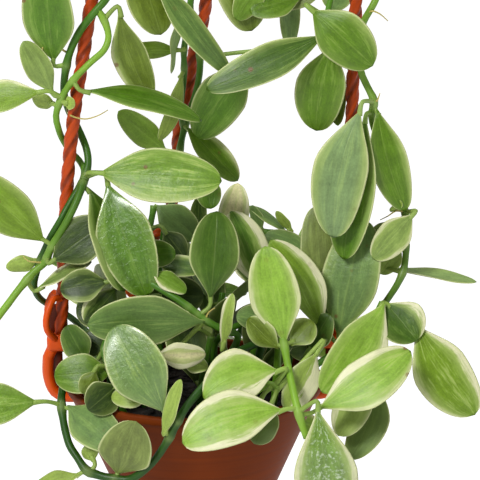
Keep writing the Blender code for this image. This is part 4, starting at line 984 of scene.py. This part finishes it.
# Right middle shoot: tall grey-green leaves in front of the right cord.
grow("vine_right_middle", [
    (1.5, STEM_OLD, STEM_GREEN, [
        mm(46, -6, -18), mm(56, -8, 10), (326, 322, -12), (323, 294, -9), (319, 266, -3), (317, 250, 4)]),
], [
    (322, 298, -8, 315, 206, -1, 16, 0, 2, 6, 0, "dull", 10, 10, 30, 30),
    (321, 333, -22, 270, 240, -20, 17, -10, 3, 8, 4, "yellow", 8, 40, 30, 30),
    (338, 337, -18, 365, 219, -10, 26, 10, 3, 5, 0, "grey", 12, 12, 30, 50),
    (316, 262, 6, 264, 235, 10, 15, -30, 1, 5, 0, "grey", 8, 8, 30, 30),
    (308, 352, -22, 330, 314, -24, 13, 10, 1, 5, 0, "deep", 6, 6, 10, 20),
    # The last leaf, in the 'shade' green, is a dark leaf put in a gap deep in the bush as painted shade.
    (318, 340, -4, 288, 350, -6, 15, 0, 1, 5, 0, "shade", 6, 6, 10, 20),
])

# Low right shoot: it leans over the lip with large streaked leaves.
grow("vine_right_low", [
    (1.6, STEM_OLD, STEM_GREEN, [
        mm(40, -30, -18), mm(50, -32, 10), (360, 336, -34), (383, 303, -32)]),
], [
    (385, 301, -35, 322, 393, -54, 23, 10, 3, 5, -3, "lime", 42, 14, 70, 30),
    (386, 303, -32, 417, 341, -42, 21, 10, 1, 10, 0, "deep", 30, 6, 20, 30),
    (416, 324, -36, 475, 415, -46, 25, 10, 4, 5, 3, "yellow", 30, 20, 100, 30),
    (364, 376, -50, 338, 436, -56, 19, 150, 1, 5, 0, "pale", 50, 20, 40, 20),
    (374, 374, -44, 349, 460, -52, 19, 150, 2, 5, 3, "moss", 10, 10, 20, 20),
])

# Thin back shoot: a few narrow leaves above the bush.
grow("vine_back_thin", [
    (1.4, STEM_OLD, STEM_GREEN, [
        mm(34, 28, -18), mm(36, 30, 20), (290, 262, 38), (288, 236, 40), (264, 232, 42)]),
], [
    (262, 232, 42, 252, 205, 42, 7, 30, 0, 4, 0, "grey", 10, 10, 20, 20),
    (288, 235, 40, 248, 206, 46, 10, -62, 1, 4, 0, "grey", 10, 10, 30, 30),
    (293, 233, 40, 276, 211, 40, 5, 20, 0, 4, 0, "pale", 5, 5, 10, 10),
    (296, 240, 38, 324, 228, 36, 12, 40, 1, 4, 0, "silver", 15, 10, 30, 20),
])

# Shoots that the front of the plant hides grow by rule: a pair of leaves at each joint, turned from the last
# pair. Each has its slot, the mm between joints, a number for its draws, how far its leaves rise and its stem's
# places. A draw is kept where the part's own solid has that leaf.
HIDDEN_VINES = {
    "vine_back_left": ("leaf_grey", 26, 3, 0.3, [
        (-22, 32, -18), (-28, 44, 10), (-34, 58, 18), (-38, 70, 2), (-34, 74, -26), (-28, 74, -50)]),
    "vine_back_middle": ("leaf_green", 26, 5, 0.3, [
        (-2, 38, -18), (-2, 48, 14), (-4, 66, 20), (-6, 78, 0), (-6, 80, -30), (-4, 78, -54)]),
    "vine_back_right": ("leaf_cream", 27, 8, 0.3, [
        (16, 30, -18), (24, 46, 10), (34, 60, 20), (40, 70, 6), (38, 76, -20), (34, 74, -44)]),
    "vine_bushy_a": ("leaf_grey", 15, 12, 1.1, [(8, 14, -18), (10, 18, 10), (14, 24, 34)]),
    "vine_bushy_b": ("leaf_green", 15, 21, 1.1, [(-16, 22, -18), (-22, 28, 10), (-26, 34, 36)]),
    "vine_bushy_c": ("leaf_green", 15, 33, 1.1, [(30, 8, -18), (36, 12, 10), (40, 18, 36)]),
    "vine_bushy_d": ("leaf_green", 14, 41, 1.0, [(2, -10, -18), (4, -10, 4), (8, -8, 22)]),
    "vine_bushy_e": ("leaf_green", 14, 52, 1.0, [(24, -4, -18), (26, -6, 4), (30, -8, 24)]),
    "vine_bushy_f": ("leaf_green", 14, 64, 1.0, [(-24, -8, -18), (-24, -10, 4), (-24, -12, 22)]),
    "vine_side_a": ("leaf_grey", 22, 71, 0.5, [(-32, 12, -18), (-40, 24, 12), (-48, 40, 30), (-52, 52, 26)]),
    "vine_side_b": ("leaf_cream", 22, 83, 0.5, [(34, 34, -18), (41, 42, 12), (52, 54, 30), (60, 62, 26)]),
}
HIDDEN_LOOKS = {
    # The 'leaf_green' slot's greens are dark, as painted shade for the shoots deep in the bush.
    "leaf_green": [("deep", 8, 8, 20, 30), ("shade", 10, 6, 10, 30), ("deep", 6, 14, 10, 20),
                   ("green", 10, 10, 30, 20)],
    "leaf_grey": [("grey", 10, 10, 40, 40), ("silver", 12, 8, 30, 20), ("green", 10, 16, 30, 30)],
    "leaf_cream": [("fresh", 30, 24, 40, 20), ("lime", 22, 30, 30, 30), ("pale", 30, 30, 40, 10)],
}
ABOVE = Vector((0, 0, 0.9))
HIDDEN_STEM_R = 1.5 * MM
HIDDEN_FOLD = 6
TRIES = 24
TOUCH = 0.05 * MM


def leaf_places(path, step):
    """Where the pairs of leaves of a hidden vine spring from: the joint, the stem's way and a side."""
    places = []
    travel = 9 * MM
    run = 0.0
    for a, b in zip(path, path[1:]):
        run += (b - a).length
        if run < travel:
            continue
        travel += step * MM
        along = (b - a).normalized()
        spoke = along.cross(Vector((0.3, 1, 0.2))).normalized()
        spoke = Matrix.Rotation(len(places) * math.pi / 4, 3, along) @ spoke
        places += [(b, along, spoke), (b, along, -spoke)]
    return places


def hidden_leaf(place, rise, seed):
    """One try at a leaf there: its base, tip, width, turn and rise."""
    joint, along, spoke = place
    draw = random.Random(seed)
    spoke = Matrix.Rotation(draw.uniform(-0.9, 0.9), 3, along) @ spoke
    heading = spoke + along * draw.uniform(0.2, 0.9) + Vector((0, 0, draw.uniform(0, rise)))
    heading.normalize()
    length = draw.uniform(28, 46) * MM
    base = joint + heading * draw.uniform(5, 9) * MM
    return (base, base + heading * length, length / MM * draw.uniform(0.4, 0.52),
            draw.uniform(-25, 25), draw.uniform(1, 4))


for name, (slot, step, seed, rise, points) in HIDDEN_VINES.items():
    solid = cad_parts[name]
    tree = BVHTree.FromPolygons([solid.matrix_world @ vert.co for vert in solid.data.vertices],
                                [tuple(face.vertices) for face in solid.data.polygons])
    form = bmesh.new()
    layers = layers_of(form)
    path = smooth_path([mm(*p) for p in points], STEM_STEP)
    path.insert(1, path[0] + Vector((0, 0, FOOT_RISE)))
    joints = []
    for number, place in enumerate(leaf_places(path, step)):
        for attempt in range(TRIES):
            base, tip, width, turn, bow = hidden_leaf(place, rise, seed * 1000 + number * 50 + attempt)
            if tree.find_nearest(tip + RIM, TOUCH)[0] is None:
                continue
            joints.append(nearest(base, [path]))
            look = HIDDEN_LOOKS[slot][(seed + number) % len(HIDDEN_LOOKS[slot])]
            add_leaf(form, layers, base, tip, width, ABOVE, turn, bow, HIDDEN_FOLD, 0, joints[-1], look,
                     seed * 50 + number)
            break
    add_stem(form, layers, path, HIDDEN_STEM_R, joints, STEM_OLD, STEM_GREEN)
    finish(name.replace("vine_", "stems_"), form, [leaf_skin, stem_skin], name)
